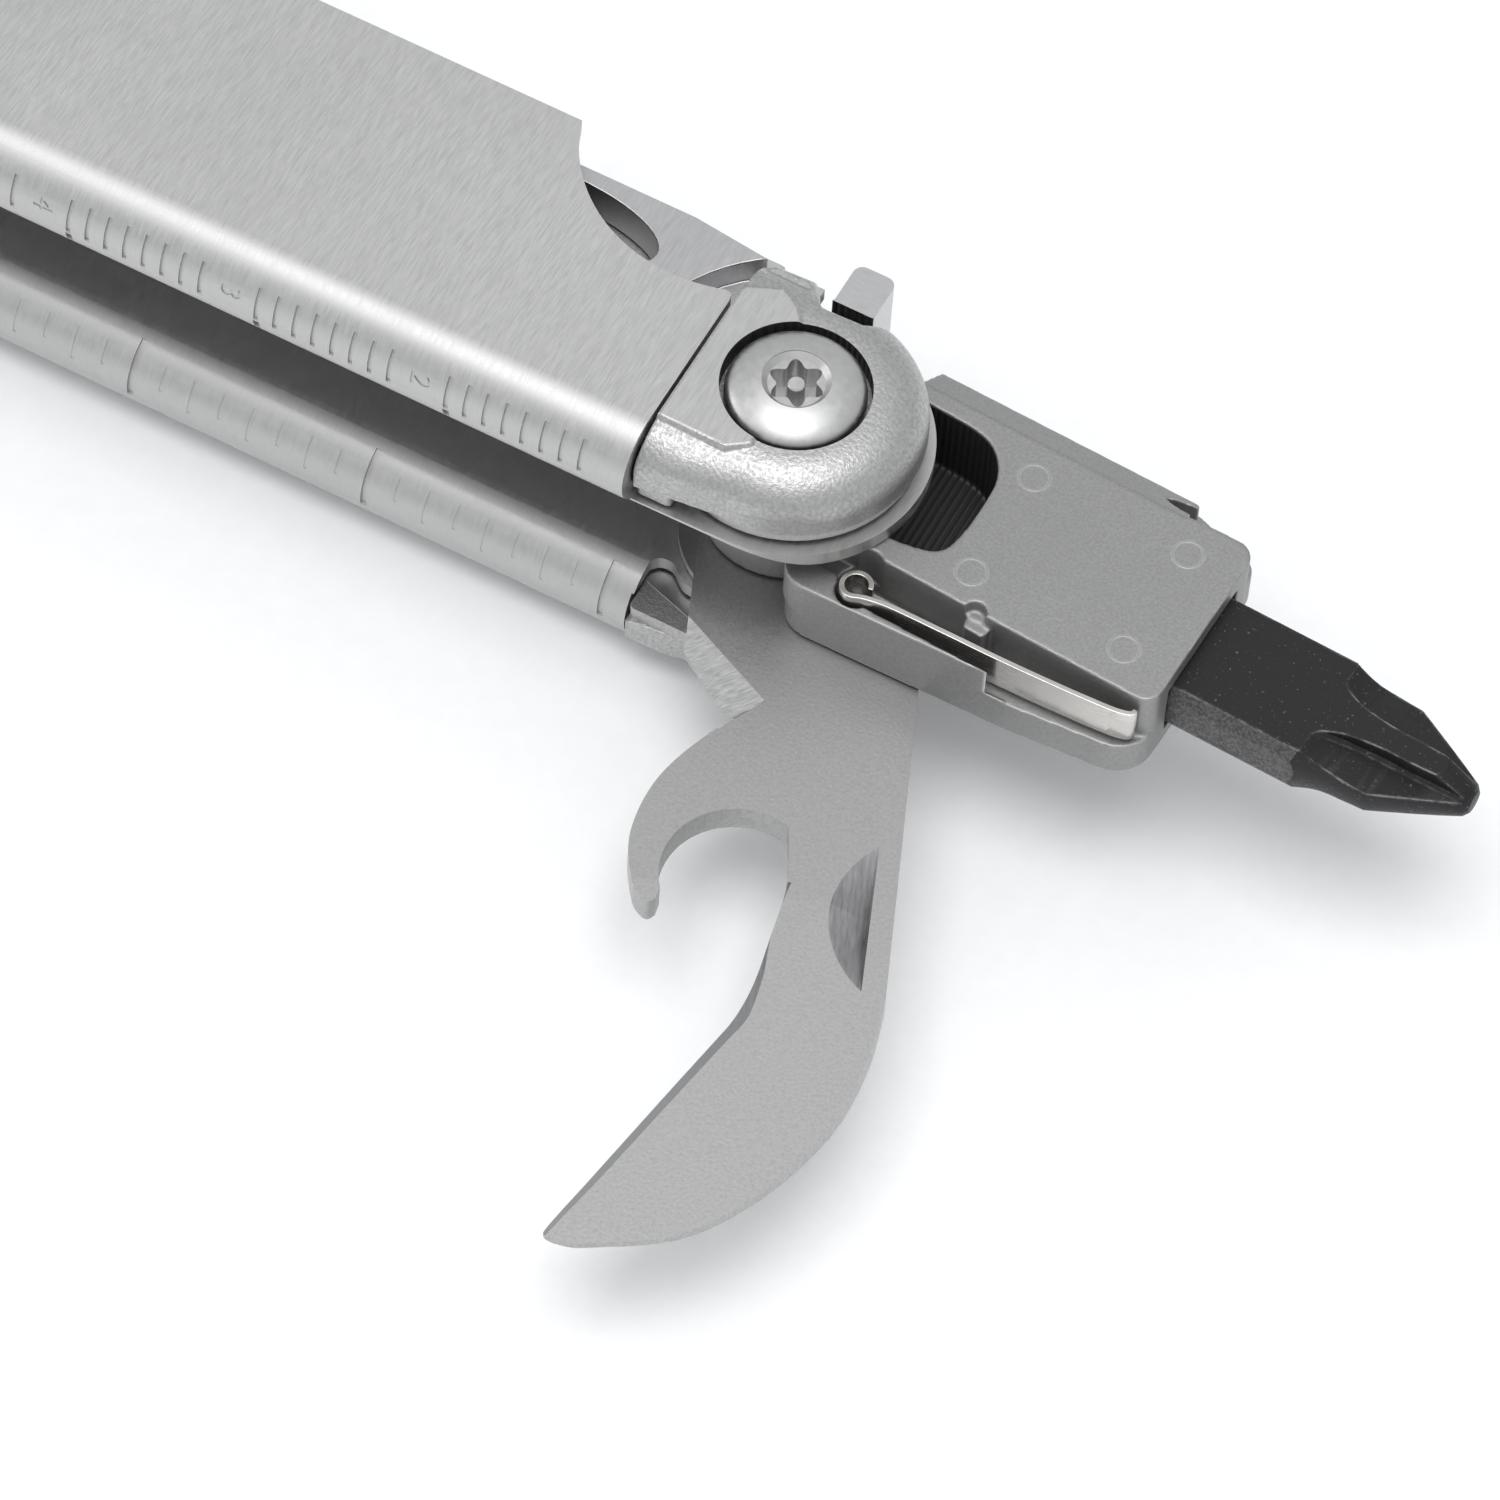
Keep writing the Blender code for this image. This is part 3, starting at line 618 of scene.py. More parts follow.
def shell_profile():
    """Cross-section of the sheet in Y and Z: cover, roll, inner wall, floor and the same below."""
    roll_z = HALF_THICKNESS - FOLD_RADIUS
    inside = FOLD_RADIUS - SHEET
    cover_inside = HALF_THICKNESS - SHEET
    floor = rounded([(FLOOR_BOTTOM, CHANNEL_HALF, FLOOR_CORNER),
                     (FLOOR_BOTTOM, -CHANNEL_HALF, FLOOR_CORNER),
                     (-5.0, -CHANNEL_HALF, 0), (-5.0, CHANNEL_HALF, 0)])[:-2]
    return ([(BACK_EDGE, HALF_THICKNESS)] + fold(TOP_FOLD_EDGE, roll_z, FOLD_RADIUS, 90, 270)
            + floor + fold(BOTTOM_FOLD_EDGE, -roll_z, FOLD_RADIUS, 90, 270)
            + [(BACK_EDGE, -HALF_THICKNESS), (BACK_EDGE, -cover_inside)]
            + fold(BOTTOM_FOLD_EDGE, -roll_z, inside, 270, 90)
            + [(BACK_EDGE, -LINER_TOP), (BACK_EDGE, LINER_TOP)]
            + fold(TOP_FOLD_EDGE, roll_z, inside, 270, 90) + [(BACK_EDGE, cover_inside)])


def tool_end_trim():
    """What is cut off round the liner's end, with a gap in the back edge for the lock lever."""
    start = SEAM_X + 0.1
    kept = [(start, -6.75), (0.0, -END_RADIUS)] + arc(0, 0, END_RADIUS, -85, 85, 48)
    kept += [(-2.6, END_RADIUS), (-2.6, 8.1), (start, 8.1)]
    return kept + [(start, 12.0), (12.0, 12.0), (12.0, -12.0), (start, -12.0)]


def plier_end_trim():
    """What is cut off round the plier end, tapered so the two backs clear each other."""
    x = -PIN_DISTANCE
    kept = [(x + 12.0, 8.6)] + arc(x, 0, PIN_END_RADIUS, 90, 270, 40) + [(x + 8.0, -7.8)]
    return kept + [(x + 8.0, -12.0), (x - 12.0, -12.0), (x - 12.0, 12.0), (x + 12.0, 12.0)]


def cover_end_trim():
    """The cover's end at the seam, run smoothly into the scallop that bares the blade."""
    scallop = arc(-8.0, 10.76, 8.1, 200, 286, 40)
    corner = smooth([scallop[-1], (-5.25, 3.1), (-4.98, 2.98), (SEAM_X, 2.6)], 4)
    return scallop + corner[1:] + [(SEAM_X, -9.0), (9.0, -9.0), (9.0, 12.0), (-17.0, 12.0)]


def tick(x, width, edge, z, start, end, depth):
    """Cutter for one ruler mark across the fold, between two angles."""
    ring = arc(radius_centre(edge), z, FOLD_RADIUS + 0.4, start, end, 10)
    ring += arc(radius_centre(edge), z, FOLD_RADIUS - depth, end, start, 10)
    return plate(ring, x - width / 2, x + width / 2, turn=ALONG_X)


def digit(text, x, edge, z, angle):
    """Cutter for a ruler number, lying on the fold at an angle of its roll."""
    curve = bpy.data.curves.new("digit", "FONT")
    curve.body = text
    curve.size = DIGIT_SIZE
    curve.align_x, curve.align_y = "CENTER", "CENTER"
    curve.extrude = 0.06
    mesh = curve_mesh(curve)
    lean = radians(angle)
    across, out = Vector((0, sin(lean), -cos(lean))), Vector((0, cos(lean), sin(lean)))
    along = across.cross(out)
    turn = Matrix((along, across, out)).transposed().to_4x4() @ turn_z(-90)
    place = Vector((x, radius_centre(edge), z)) + out * (FOLD_RADIUS - 0.01)
    mesh.transform(Matrix.Translation(place) @ turn)
    return welded(link(mesh), WELD)


def ruler_marks():
    """Millimetres along the upper roll and sixteenths along the lower one."""
    z = HALF_THICKNESS - FOLD_RADIUS
    marks = []
    for i in range(68):
        x = MILLIMETRE_START - i
        if i % 10 not in (8, 9):
            # The other two make room for a number
            marks.append(tick(x, 0.24, TOP_FOLD_EDGE, z, 140, 186, 0.12))
        if i % 10 == TO_FIRST_NUMBER:
            marks.append(tick(x, 0.34, TOP_FOLD_EDGE, z, 188, 208, 0.2))
    for i in range(46):
        x = INCH_START - i * SIXTEENTH
        if i % 8 == 0:
            marks.append(tick(x, 0.32, BOTTOM_FOLD_EDGE, -z, 112, 190, 0.14))
        else:
            marks.append(tick(x, 0.16, BOTTOM_FOLD_EDGE, -z, 130, 160 if i % 2 else 172, 0.03))
    return marks


def lock_pin_circle(play):
    return circle(LOCK_PIN_RADIUS + play, LOCK_PIN_X, LOCK_PIN_Y, 24)


def mirrored(obj, side):
    if side < 0:
        work = bmesh.new()
        work.from_mesh(obj.data)
        work.transform(Matrix.Diagonal((1, -1, 1, 1)))
        bmesh.ops.reverse_faces(work, faces=work.faces)
        work.to_mesh(obj.data)
        work.free()
    return obj


def make_shell():
    lever_gap = CHANNEL_HALF + 0.05
    shell = plate(shell_profile(), -PIN_DISTANCE - PIN_END_RADIUS, END_RADIUS, turn=ALONG_X)
    end = END_RADIUS + 1
    past_seam = [(SEAM_X, -9), (end, -9), (end, 9.5), (SEAM_X, 9.5)]
    for low, high in ((LINER_TOP - 0.05, BEYOND), (-BEYOND, 0.05 - LINER_TOP)):
        cut(shell, plate(past_seam, low, high))
    cut(shell,
        plate(tool_end_trim(), -BEYOND, BEYOND),
        plate(plier_end_trim(), -BEYOND, BEYOND),
        box((LEVER_BACK - 0.5, 6.9, -lever_gap), (end, 9, lever_gap)),
        plate(circle(POST_HOLE), -6, 6),
        plate(circle(PIN_HOLE, -PIN_DISTANCE), -BEYOND, BEYOND),
        plate(circle(PIN_HEAD_HOLE, -PIN_DISTANCE), PIN_HEAD_FLOOR, BEYOND),
        plate(circle(PIN_HEAD_HOLE, -PIN_DISTANCE), -BEYOND, -PIN_HEAD_FLOOR),
        plate(lock_pin_circle(0.15), -6, 6))
    for low, high in ((LINER_TOP + 1, BEYOND), (-BEYOND, -LINER_TOP - 1)):
        cut(shell, plate(cover_end_trim(), low, high))
    relief = [(-4.79, -9.0), (-4.79, -4.4)] + smooth([
        (-4.76, -4.26), (-4.38, -3.9), (-3.75, -3.9), (-3.25, -4.32), (-2.8, -4.6), (-2.2, -4.7),
        (-1.0, -5.0)], 4)
    cut(shell, plate(relief + [(0.6, -6.2), (0.8, -9.0)], -LINER_TOP - 0.06, -CHANNEL_HALF + 0.06))
    eased(shell, 0.16, 3, 40)
    cut(shell, gathered(ruler_marks()))
    z = HALF_THICKNESS - FOLD_RADIUS
    for number in range(2, 8):
        x = MILLIMETRE_START - TO_FIRST_NUMBER - 10 * (number - 2) - DIGIT_GAP
        cut(shell, digit(str(number), x, TOP_FOLD_EDGE, z, 160))
    return shell


# Pivot hardware

def inside_depth(polygon, x, y):
    """How far a point is inside a convex polygon that runs anticlockwise."""
    depths = []
    for (ax, ay), (bx, by) in zip(polygon, polygon[1:] + polygon[:1]):
        length = ((bx - ax) ** 2 + (by - ay) ** 2) ** 0.5
        depths.append(((bx - ax) * (y - ay) - (by - ay) * (x - ax)) / length)
    return np.min(depths, axis=0)


def eased_step(value, width):
    t = np.clip(value / width, 0.0, 1.0)
    return t * t * (3 - 2 * t)


def bolster_height(x, y):
    """Height of the cap: a rounded band round the screw, a flat land and a lug."""
    left = np.clip(-x / 3.0, 0.0, 1.0)
    outer = BOLSTER_RADIUS + 0.5 * left * (y < 0)
    reach = np.hypot(np.maximum(x, 0.0), y) / outer * BOLSTER_RADIUS
    t = np.clip((reach - CROWN_START) / (BOLSTER_RADIUS - CROWN_START), 0.0, 1.0)
    height = CROWN_LOW + CROWN_RISE * np.sqrt(1.0 - np.minimum(t, 0.999) ** 2.2)
    lug = [(-5.2, 4.2), (-1.0, 4.2), (-1.7, 6.3), (-2.3, 6.75), (-4.4, 6.65), (-5.2, 6.1)]
    inset = inside_depth(lug, x, y)
    height = np.maximum(height, 6.2 + 1.5 * np.sqrt(np.clip(inset / 0.7, 0.0, 1.0)))
    land = [(-5.4, -4.6), (-1.2, -4.65), (-0.2, -3.9), (-1.5, 3.3), (-1.95, 3.9), (-2.6, 4.35),
            (-3.05, 4.54), (-4.55, 3.85), (-5.4, 3.1)]
    rise = eased_step(inside_depth(land, x, y) + 0.12, 0.2)
    return height + rise * np.maximum(HALF_THICKNESS - height, 0.0)


def bolster_outline():
    round_end = arc(0, 0, BOLSTER_RADIUS, -94, 68, 60)
    notch = rounded([(2.1, 6.6, 0), (1.55, 5.3, 0.4), (0.95, 4.75, 0.5), (-1.2, 4.65, 0.4),
                     (-1.9, 6.0, 0), (0.0, 9.0, 0)])[1:-2]
    lug = smooth([(-1.95, 6.1), (-2.15, 6.5), (-2.7, 6.66), (-4.2, 6.5), (BOLSTER_LEFT, 6.15)], 4)
    return [(BOLSTER_LEFT, -6.75)] + round_end + notch + lug


def make_bolster(tab_end, tab_low):
    """The cast cap over the blade's hub, facing up, with its foot along the seam."""
    cap = plate(bolster_outline(), BOLSTER_LOW, HALF_THICKNESS,
                holes=[circle(SCREW_RECESS_RADIUS - 0.5, steps=96)])
    cast(cap, 0.08)
    points = np.empty(len(cap.data.vertices) * 3)
    cap.data.vertices.foreach_get("co", points)
    points = points.reshape(-1, 3)
    share = (points[:, 2] - BOLSTER_LOW) / (HALF_THICKNESS - BOLSTER_LOW)
    points[:, 2] = BOLSTER_LOW + share * (bolster_height(points[:, 0], points[:, 1]) - BOLSTER_LOW)
    cap.data.vertices.foreach_set("co", points.ravel())
    cut(cap, plate(circle(SCREW_RECESS_RADIUS, steps=96), BOLSTER_LOW - 1, HALF_THICKNESS + 1))
    seat = plate(circle(SCREW_RECESS_RADIUS + 0.3), BOLSTER_LOW + 0.05, SCREW_RECESS_FLOOR,
                 holes=[circle(POST_HOLE)])
    foot = rounded([(BOLSTER_LEFT, -6.45, 0.3), (tab_end, -6.45, 0.3), (tab_end, -3.6, 0.2),
                    (BOLSTER_LEFT, -3.6, 0.2)])
    tab = plate(foot, tab_low, BOLSTER_LOW + 0.5)
    cut(tab, plate(circle(HUB_RADIUS + 0.07, steps=96), 0, 9))
    return gathered([cap, seat, eased(tab, 0.08)])


def make_screw():
    """Domed head with a six-lobed socket, a rim round it and a pin in the middle."""
    seat = SCREW_RECESS_FLOOR + 0.1
    profile = smooth([(0, 9.18), (1.0, 9.14), (1.9, 9.0), (2.6, 8.76), (3.05, 8.5), (3.27, 8.25)], 5)
    profile += [(SCREW_HEAD_RADIUS, 8.1), (SCREW_HEAD_RADIUS, seat + 0.1),
                (SCREW_HEAD_RADIUS - 0.1, seat), (SCREW_SHANK_RADIUS, seat),
                (SCREW_SHANK_RADIUS, 2.0), (0, 2.0)]
    screw = turned(profile, 96)
    lobes = []
    for angle in range(0, 360, 4):
        radius = LOBE_RADIUS + LOBE_DEPTH * cos(radians(6 * angle))
        lobes.append((radius * cos(radians(angle)), radius * sin(radians(angle))))
    rim = turned([(0, 9.5), (1.62, 9.5), (1.62, 9.0), (1.34, 8.74), (0, 8.74)], 72)
    cut(screw, rim, plate(lobes, 7.3, 9.5))
    eased(screw, 0.045, 2, 28)
    post = turned([(0, 8.72), (0.36, 8.72), (0.42, 8.66), (0.42, 7.25), (0, 7.25)], 32)
    return gathered([screw, post])


def make_pin(top, seat, head, radius, crown=0.25):
    """A pin with a low head at each end; crown is how far the head's edge is rounded."""
    profile = [(0, top), (head - crown, top), (head - 0.3 * crown, top - 0.3 * crown),
               (head, top - crown), (head, seat), (radius, seat)]
    return turned(profile + [(r, -z) for r, z in reversed(profile)])


def make_lever():
    outline = rounded([
        (-0.2, 8.5, 0.4), (-0.2, 11.0, 0.5), (-2.3, 11.0, 0.5), (-2.3, 8.6, 0.2), (-3.0, 8.1, 0.3),
        (LEVER_BACK, 8.1, 0.4), (LEVER_BACK, 6.9, 0.3), (-17.7, 6.9, 0.2), (-16.9, 6.35, 0.3),
        (-15.1, 6.35, 0.3), (-14.3, 6.9, 0.2), (-3.6, 6.9, 0.3)])
    lever = plate(outline, -LEVER_HALF, LEVER_HALF, holes=[lock_pin_circle(0.12)])
    cut(lever,
        box((-3.3, 6.0, LEVER_NECK_HALF), (0.5, 8.55, 4)),
        box((-3.3, 6.0, -4), (0.5, 8.55, -LEVER_NECK_HALF)))
    return eased(lever, 0.28, 4, 40)


# Blades

def blade_hub():
    return arc(0, 0, BLADE_HUB_RADIUS, 70, 290, 40)


def thumb_hole():
    return circle(2.0, 14.9, -4.4, 48, stretch=2.65)


def blade_solid(outline, holes=()):
    blade = plate(outline, BLADE_LOW, BLADE_TOP, holes=[circle(POST_HOLE)] + list(holes))
    return cut(blade, plate(circle(BLADE_STEP_RADIUS, steps=64), BLADE_HUB_TOP, BLADE_TOP + 1))


def grind(start, end, up, thin=0.12):
    """A long wedge that thins a blade towards its edge, on the face that up names."""
    (x0, y0), (x1, y1) = start, end
    middle = (BLADE_LOW + BLADE_TOP) / 2
    profile = [(y0, middle + 1.2 * up), (y1, middle + thin * up), (y1 + 1, middle + 3 * up),
               (y0, middle + 3 * up)]
    return plate(profile, x0, x1, turn=ALONG_X)


def make_knife():
    spine = BLADE_NECK + [(56.0, -7.2)] + smooth([(62, -6.6), (68, -4.2), (74, 0.6)])
    edge = smooth([(73.2, 1.4), (68, 2.9), (60, 3.7), (52, 3.8)])
    choil = [(14.0, 3.8), (13.0, 3.0), (12.0, 3.8), (6.0, 4.4)]
    outline = blade_hub() + spine + edge + choil
    knife = blade_solid(outline, [thumb_hole()])
    for face in (1, -1):
        cut(knife, grind((10.5, 0.2), (76.0, 3.85), face))
    return eased(knife, 0.08, 2)


def belly(i, last):
    """A slight outward bow along a toothed edge."""
    return 0.25 * sin(radians(180 * i / last))


def make_serrated():
    outline = blade_hub() + BLADE_NECK + [(60.0, -7.2)]
    outline += smooth([(60.5, -7.15), (70.0, -4.0), (72.0, 0.0)]) + [(66.0, 3.2), (60.0, 3.8)]
    for i in range(11):
        outline += arc(57.6 - 4 * i, 4.0 + belly(i, 10), 1.9, 345, 195, 10)
    blade = blade_solid(outline + BLADE_HEEL, [thumb_hole()])
    cut(blade, grind((12.0, 0.0), (76.0, 4.2), 1, -0.7))
    return eased(blade, 0.06, 2)


def make_saw():
    outline = blade_hub() + BLADE_NECK + [(70.0, -5.6), (71.0, -4.8), (71.0, 3.4)]
    for i in range(22):
        rise = belly(i, 21)
        outline += [(70.0 - 2.5 * i, 3.6 + rise), (68.9 - 2.5 * i, 2.1 + rise)]
    saw = blade_solid(outline + BLADE_HEEL)
    cut(saw, box((12.0, -5.5, 6.4), (69.0, 1.2, 9.0)))
    return eased(saw, 0.06, 2)


def make_file():
    end = [(68.0, -7.2), (69.0, -6.2), (69.0, 2.8), (68.0, 3.8)]
    file = blade_solid(blade_hub() + BLADE_NECK + end + BLADE_HEEL)
    grooves = []
    for i in range(60):
        place = Matrix.Translation((15.0 + 0.9 * i, -1.7, BLADE_TOP + 0.06))
        groove = box((-0.22, -8, -0.16), (0.22, 8, 0.16))
        grooves.append(moved(groove, place @ turn_z(24) @ turn_y(45)))
    cut(file, gathered(grooves))
    return eased(file, 0.04, 1)


# Tools in the channels

def make_driver():
    """The bit holder: raised body with a window, near wall, coil pocket, ledge and bit pocket."""
    skew = turn_z(DRIVER_SKEW)
    base = rounded([(2.6, -5.98, 1.6), (14.4, -5.93, 0), (20.9, -5.5, 1.9), (21.15, 0, 0),
                    (21.0, 6.6, 1.0), (17.4, 7.9, 0.3), (3.0, 7.9, 0.3), (1.3, 5.2, 0.3)])
    holder = plate(base, DRIVER_LOW, 0.7)
    wall = rounded([(2.5, -5.98, 1.4), (14.4, -5.93, 0.2), (14.4, -5.2, 0.3), (6.0, -4.6, 0),
                    (2.3, -4.3, 0.4)])
    body = rounded([(2.0, -3.1, 0), (6.0, -3.1, 0), (11.6, -3.25, 0), (21.15, -3.4, 0.85),
                    (21.0, 6.72, 1.0), (17.3, 6.6, 0.15), (17.3, 8.1, 0.25), (3.4, 8.1, 0)])
    raised = plate(body, DRIVER_BASE_TOP, DRIVER_TOP, turn=skew)
    bevel = moved(box((-3, -1.5, 0), (17.42, 4.5, 4)), (
        skew @ Matrix.Translation((0, 6.45, DRIVER_TOP)) @ turn_x(-33)
        @ Matrix.Translation((0, 1.5, 0))))
    cut(raised, bevel)
    shelf = rounded([(2.5, -5.2, 0.4), (5.6, -5.2, 0.2), (5.2, -2.8, 0), (2.4, -2.8, 0)])
    pad = moved(plate(circle(0.62, 12.0, -3.45), DRIVER_BASE_TOP, 2.85), skew)
    join(holder, plate(wall, DRIVER_BASE_TOP, 2.5), raised, plate(shelf, DRIVER_BASE_TOP, 1.95),
         pad, plate(circle(4.0), DRIVER_LOW + 0.02, DRIVER_TOP - 0.02))
    window = smooth([(0, 5.7), (4.4, 5.58), (6.7, 5.45), (7.95, 4.95), (8.8, 3.8), (9.07, 2.3),
                     (9.07, 0.2), (8.75, -1.15), (7.65, -1.68), (5.8, -1.92), (3, -2.3),
                     (0, -2.4)], 5)
    half_width, half_height = 3.25, 1.6
    pocket = box((8.8, BIT_LINE_Y - half_width, BIT_MIDDLE - half_height),
                 (23, BIT_LINE_Y + half_width, BIT_MIDDLE + half_height))
    coil = plate(circle(0.97, COIL_X, COIL_Y, 40), 0.85, 5.0)
    alcove = plate(circle(1.08, 6.15, -3.95, 40), 1.3, 5.0)
    valley = plate([(6.2, -5.15), (14.4, -5.2), (20.6, -4.75), (21.6, -4.6), (21.6, -3.9),
                    (13.0, -4.15), (12.4, -3.9), (7.0, -3.5)], 0.72, 5.0)
    scoop = plate(smooth([(15.7, 7.25), (16.6, 6.98), (17.5, 6.95), (18.2, 7.2), (17.6, 7.75),
                          (16.6, 7.62), (15.7, 7.25)], 4)[:-1], 1.4, 5.0)
    nib = plate(circle(0.55, 11.75, -3.28, 24), 2.9, 5.0)
    hollows = [moved(hollow, skew) for hollow in (pocket, coil, alcove, valley, scoop, nib)]
    cut(holder, plate(window, -0.65, 5.0, turn=skew), *hollows, plate(circle(POST_HOLE), -3, 5))
    cast(holder, 0.085)
    rings = []
    for x, y in ((10.3, 4.6), (18.4, 4.7), (10.5, -1.5), (18.5, -1.4)):
        ring = turned([(0.7, 0.0), (0.73, 0.012), (0.76, 0.0), (0.76, -0.1), (0.7, -0.1),
                       (0.7, 0.0)], 40)
        rings.append(moved(ring, skew @ Matrix.Translation((x, y, DRIVER_TOP))))
    return gathered([holder] + rings)


def make_spring():
    """The rolled flat spring that presses on the bit."""
    coil = arc(COIL_X, COIL_Y, 0.68, 8, 256, 40)
    blade = smooth([coil[-1], (6.35, -5.18), (6.95, -4.95), (8.2, -4.74), (11.0, -4.62),
                    (14.0, -4.52), (17.3, -4.32), (19.3, -4.14), (20.0, -4.02), (20.38, -3.85),
                    (20.46, -3.6)], 4)
    return eased(plate(strip(coil + blade[2:], 0.26), 0.95, 3.0), 0.06, 2)


def flute(quarter):
    """V-shaped cutter along the tip, with the run-out that a round mill leaves."""
    path = smooth([(26.6, 3.9), (27.07, 2.94), (27.77, 2.2), (28.95, 1.43), (30.6, 1.08),
                   (32, 1.04), (33.7, 0.95), (36.2, 0.78)], 3)
    rings = [((x, -0.12, r), (x, 0.12, r), (x, 4.12, r + 4), (x, -4.12, r + 4)) for x, r in path]
    return moved(lofted(rings), turn_x(45 + 90 * quarter))


def make_bit():
    """A flattened hexagon bit with a cross tip."""
    flat, edge = 2.83, 3.17
    section = [(flat, 1.52), (edge, 0.9), (edge, -0.9), (flat, -1.52), (-flat, -1.52), (-edge, -0.9),
               (-edge, 0.9), (-flat, 1.52)]
    bit = plate(section, 9.6, 36.0, turn=ALONG_X)
    neck = smooth([(3.9, 26.0), (3.5, 27.0), (3.1, 27.9), (2.86, 28.9), (2.82, 30.0),
                   (2.78, 31.2)], 4)
    point = [(0, 35.45), (0.55, 35.42), (0.82, 35.2)] + neck[::-1] + [(3.9, 9.0), (0, 9.0)]
    limit = turned(point, 72, turn_y(90))
    combine(bit, [limit], "INTERSECT")
    cut(bit, *[flute(quarter) for quarter in range(4)])
    return moved(eased(bit, 0.09, 2, 25), Matrix.Translation((0, BIT_LINE_Y, BIT_MIDDLE)))


def opener_outline():
    """Can opener and cap lifter, pointing along +X with its back edge at +Y."""
    hub = arc(0, 0, HUB_RADIUS, 110, 228, 30)
    lifter = [(6.5, -3.85), (7.8, -3.87)] + rounded([
        (7.8, -3.87, 0), (10.9, -1.6, 0.35), (10.8, 0.1, 0), (5.0, 2.0, 0)])[1:-2]
    hook = smooth([(10.8, 0.1), (12.1, -1.45), (14.4, -3.5), (16.5, -4.65), (19.0, -5.17),
                   (21.3, -4.75), (22.05, -4.3), (22.25, -3.92), (22.0, -3.6)])
    hook_inside = arc(20.3, -0.1, 3.55, -72, -215, 30)
    edge = smooth([(18.3, 2.1), (20.8, 2.2), (23.5, 1.75), (25.4, 1.35), (26.6, 0.95), (27.6, 0.45),
                   (28.7, -0.18), (31.0, -1.57), (33.8, -3.24), (36.6, -4.9), (39.1, -6.35),
                   (39.8, -6.55), (40.1, -6.1)])
    back = smooth([(40.2, -5.5), (40.1, -4.4), (39.1, -0.5), (36.6, 2.7), (32.9, 5.4), (29.2, 6.8),
                   (26.0, 7.28)], 8)
    return hub + lifter + hook + hook_inside + edge + back + [(9.0, 7.1)]


def slope(path, top, drop, run, up=1):
    """Cutter that grinds a slope from a path, downhill on the path's right-hand side.

    up is -1 for a slope on the underside.
    """
    back, on = -0.2, 2.2
    rings = []
    for here, along in directions(path):
        near, far = (Vector(here) + Vector((along.y, -along.x)) * run * k for k in (back, on))
        rings.append(((*near, top - up * drop * back), (*far, top - up * drop * on),
                      (*far, top + up * 1.5), (*near, top + up * 1.5)))
    return lofted(rings)


def nail_nick():
    """Cutter for the nick: part of a cone behind a steep straight wall."""
    radius = 5.22
    profile = [(0, 1.0), (radius + 2.4, 1.0), (radius, 0), (radius - 2.4, -0.85), (0, -0.85)]
    cone = moved(turned(profile, 120), Matrix.Translation((22.0, 9.45, OPENER_TOP)))
    wall = Matrix.Translation((0, 2.05, OPENER_TOP)) @ turn_x(-14)
    return combine(cone, [moved(box((10, 0, -2), (34, 4, 2)), wall)], "INTERSECT")


def make_opener():
    opener = plate(opener_outline(), OPENER_LOW, OPENER_TOP, holes=[circle(POST_HOLE)])
    thinned = slope([(20.9, -9.0), (21.5, 10.0)], OPENER_TOP, 0.28, 12.0)
    hollow = slope([(31.0, -9.0), (31.5, 10.0)], OPENER_LOW, 0.75, 9.0, -1)
    ground = slope([(5.2, -5.13), (10.72, 0.14)], OPENER_TOP, 1.55, 1.2)
    shoulder = smooth([(20.4, 2.4), (22.4, 1.92), (23.5, 1.82), (25.2, 1.78), (26.6, 1.6),
                       (27.85, 1.3), (29.1, 0.55), (31.4, -0.83), (34.2, -2.5), (37.0, -4.17),
                       (39.3, -5.62), (40.6, -6.4)], 4)
    edge = slope(shoulder, OPENER_TOP, 1.0, 0.85)
    return cut(opener, thinned, hollow, ground, edge, nail_nick())


def stowed_hub(start=90, end=290):
    return arc(0, 0, HUB_RADIUS, start, end, 36)


def make_screwdriver(length, width, low, high):
    near, far = 3.6 - width / 2, 3.6 + width / 2
    outline = stowed_hub() + [(6.0, -3.6), (20.0, -1.2), (24.0, near), (length, near),
                              (length, far), (24.0, far), (20.0, 6.9), (5.0, 6.9)]
    tool = plate(outline, low, high, holes=[circle(POST_HOLE)])
    start, end = length - 7.0, length + 0.5
    for level, up in ((low, -1), (high, 1)):
        wedge = [(start, level), (end, level - up * 0.42), (end, level + up), (start, level + up)]
        cut(tool, plate(wedge, -2, 9, turn=ON_EDGE))
    return eased(tool, 0.12, 2)


def make_small_driver():
    outline = stowed_hub(100, 270) + rounded([
        (4.0, -3.4, 0), (21.0, -1.5, 0.5), (21.6, -0.8, 0), (21.6, 6.2, 0.3), (20.8, 6.9, 0.3),
        (4.0, 6.9, 0)])
    holder = plate(outline, -1.6, 1.75, holes=[circle(POST_HOLE)])
    cut(holder, box((9.0, 0.6, -1.0), (23, 4.6, 1.15)))
    return eased(holder, 0.15, 2)


def make_small_bit():
    outline = [(9.3, 0.8), (30.0, 0.8), (31.5, 1.5), (36.5, 2.0), (36.5, 3.2), (31.5, 3.7),
               (30.0, 4.4), (9.3, 4.4)]
    return eased(plate(outline, -0.85, 1.0), 0.18, 2)


# Pliers

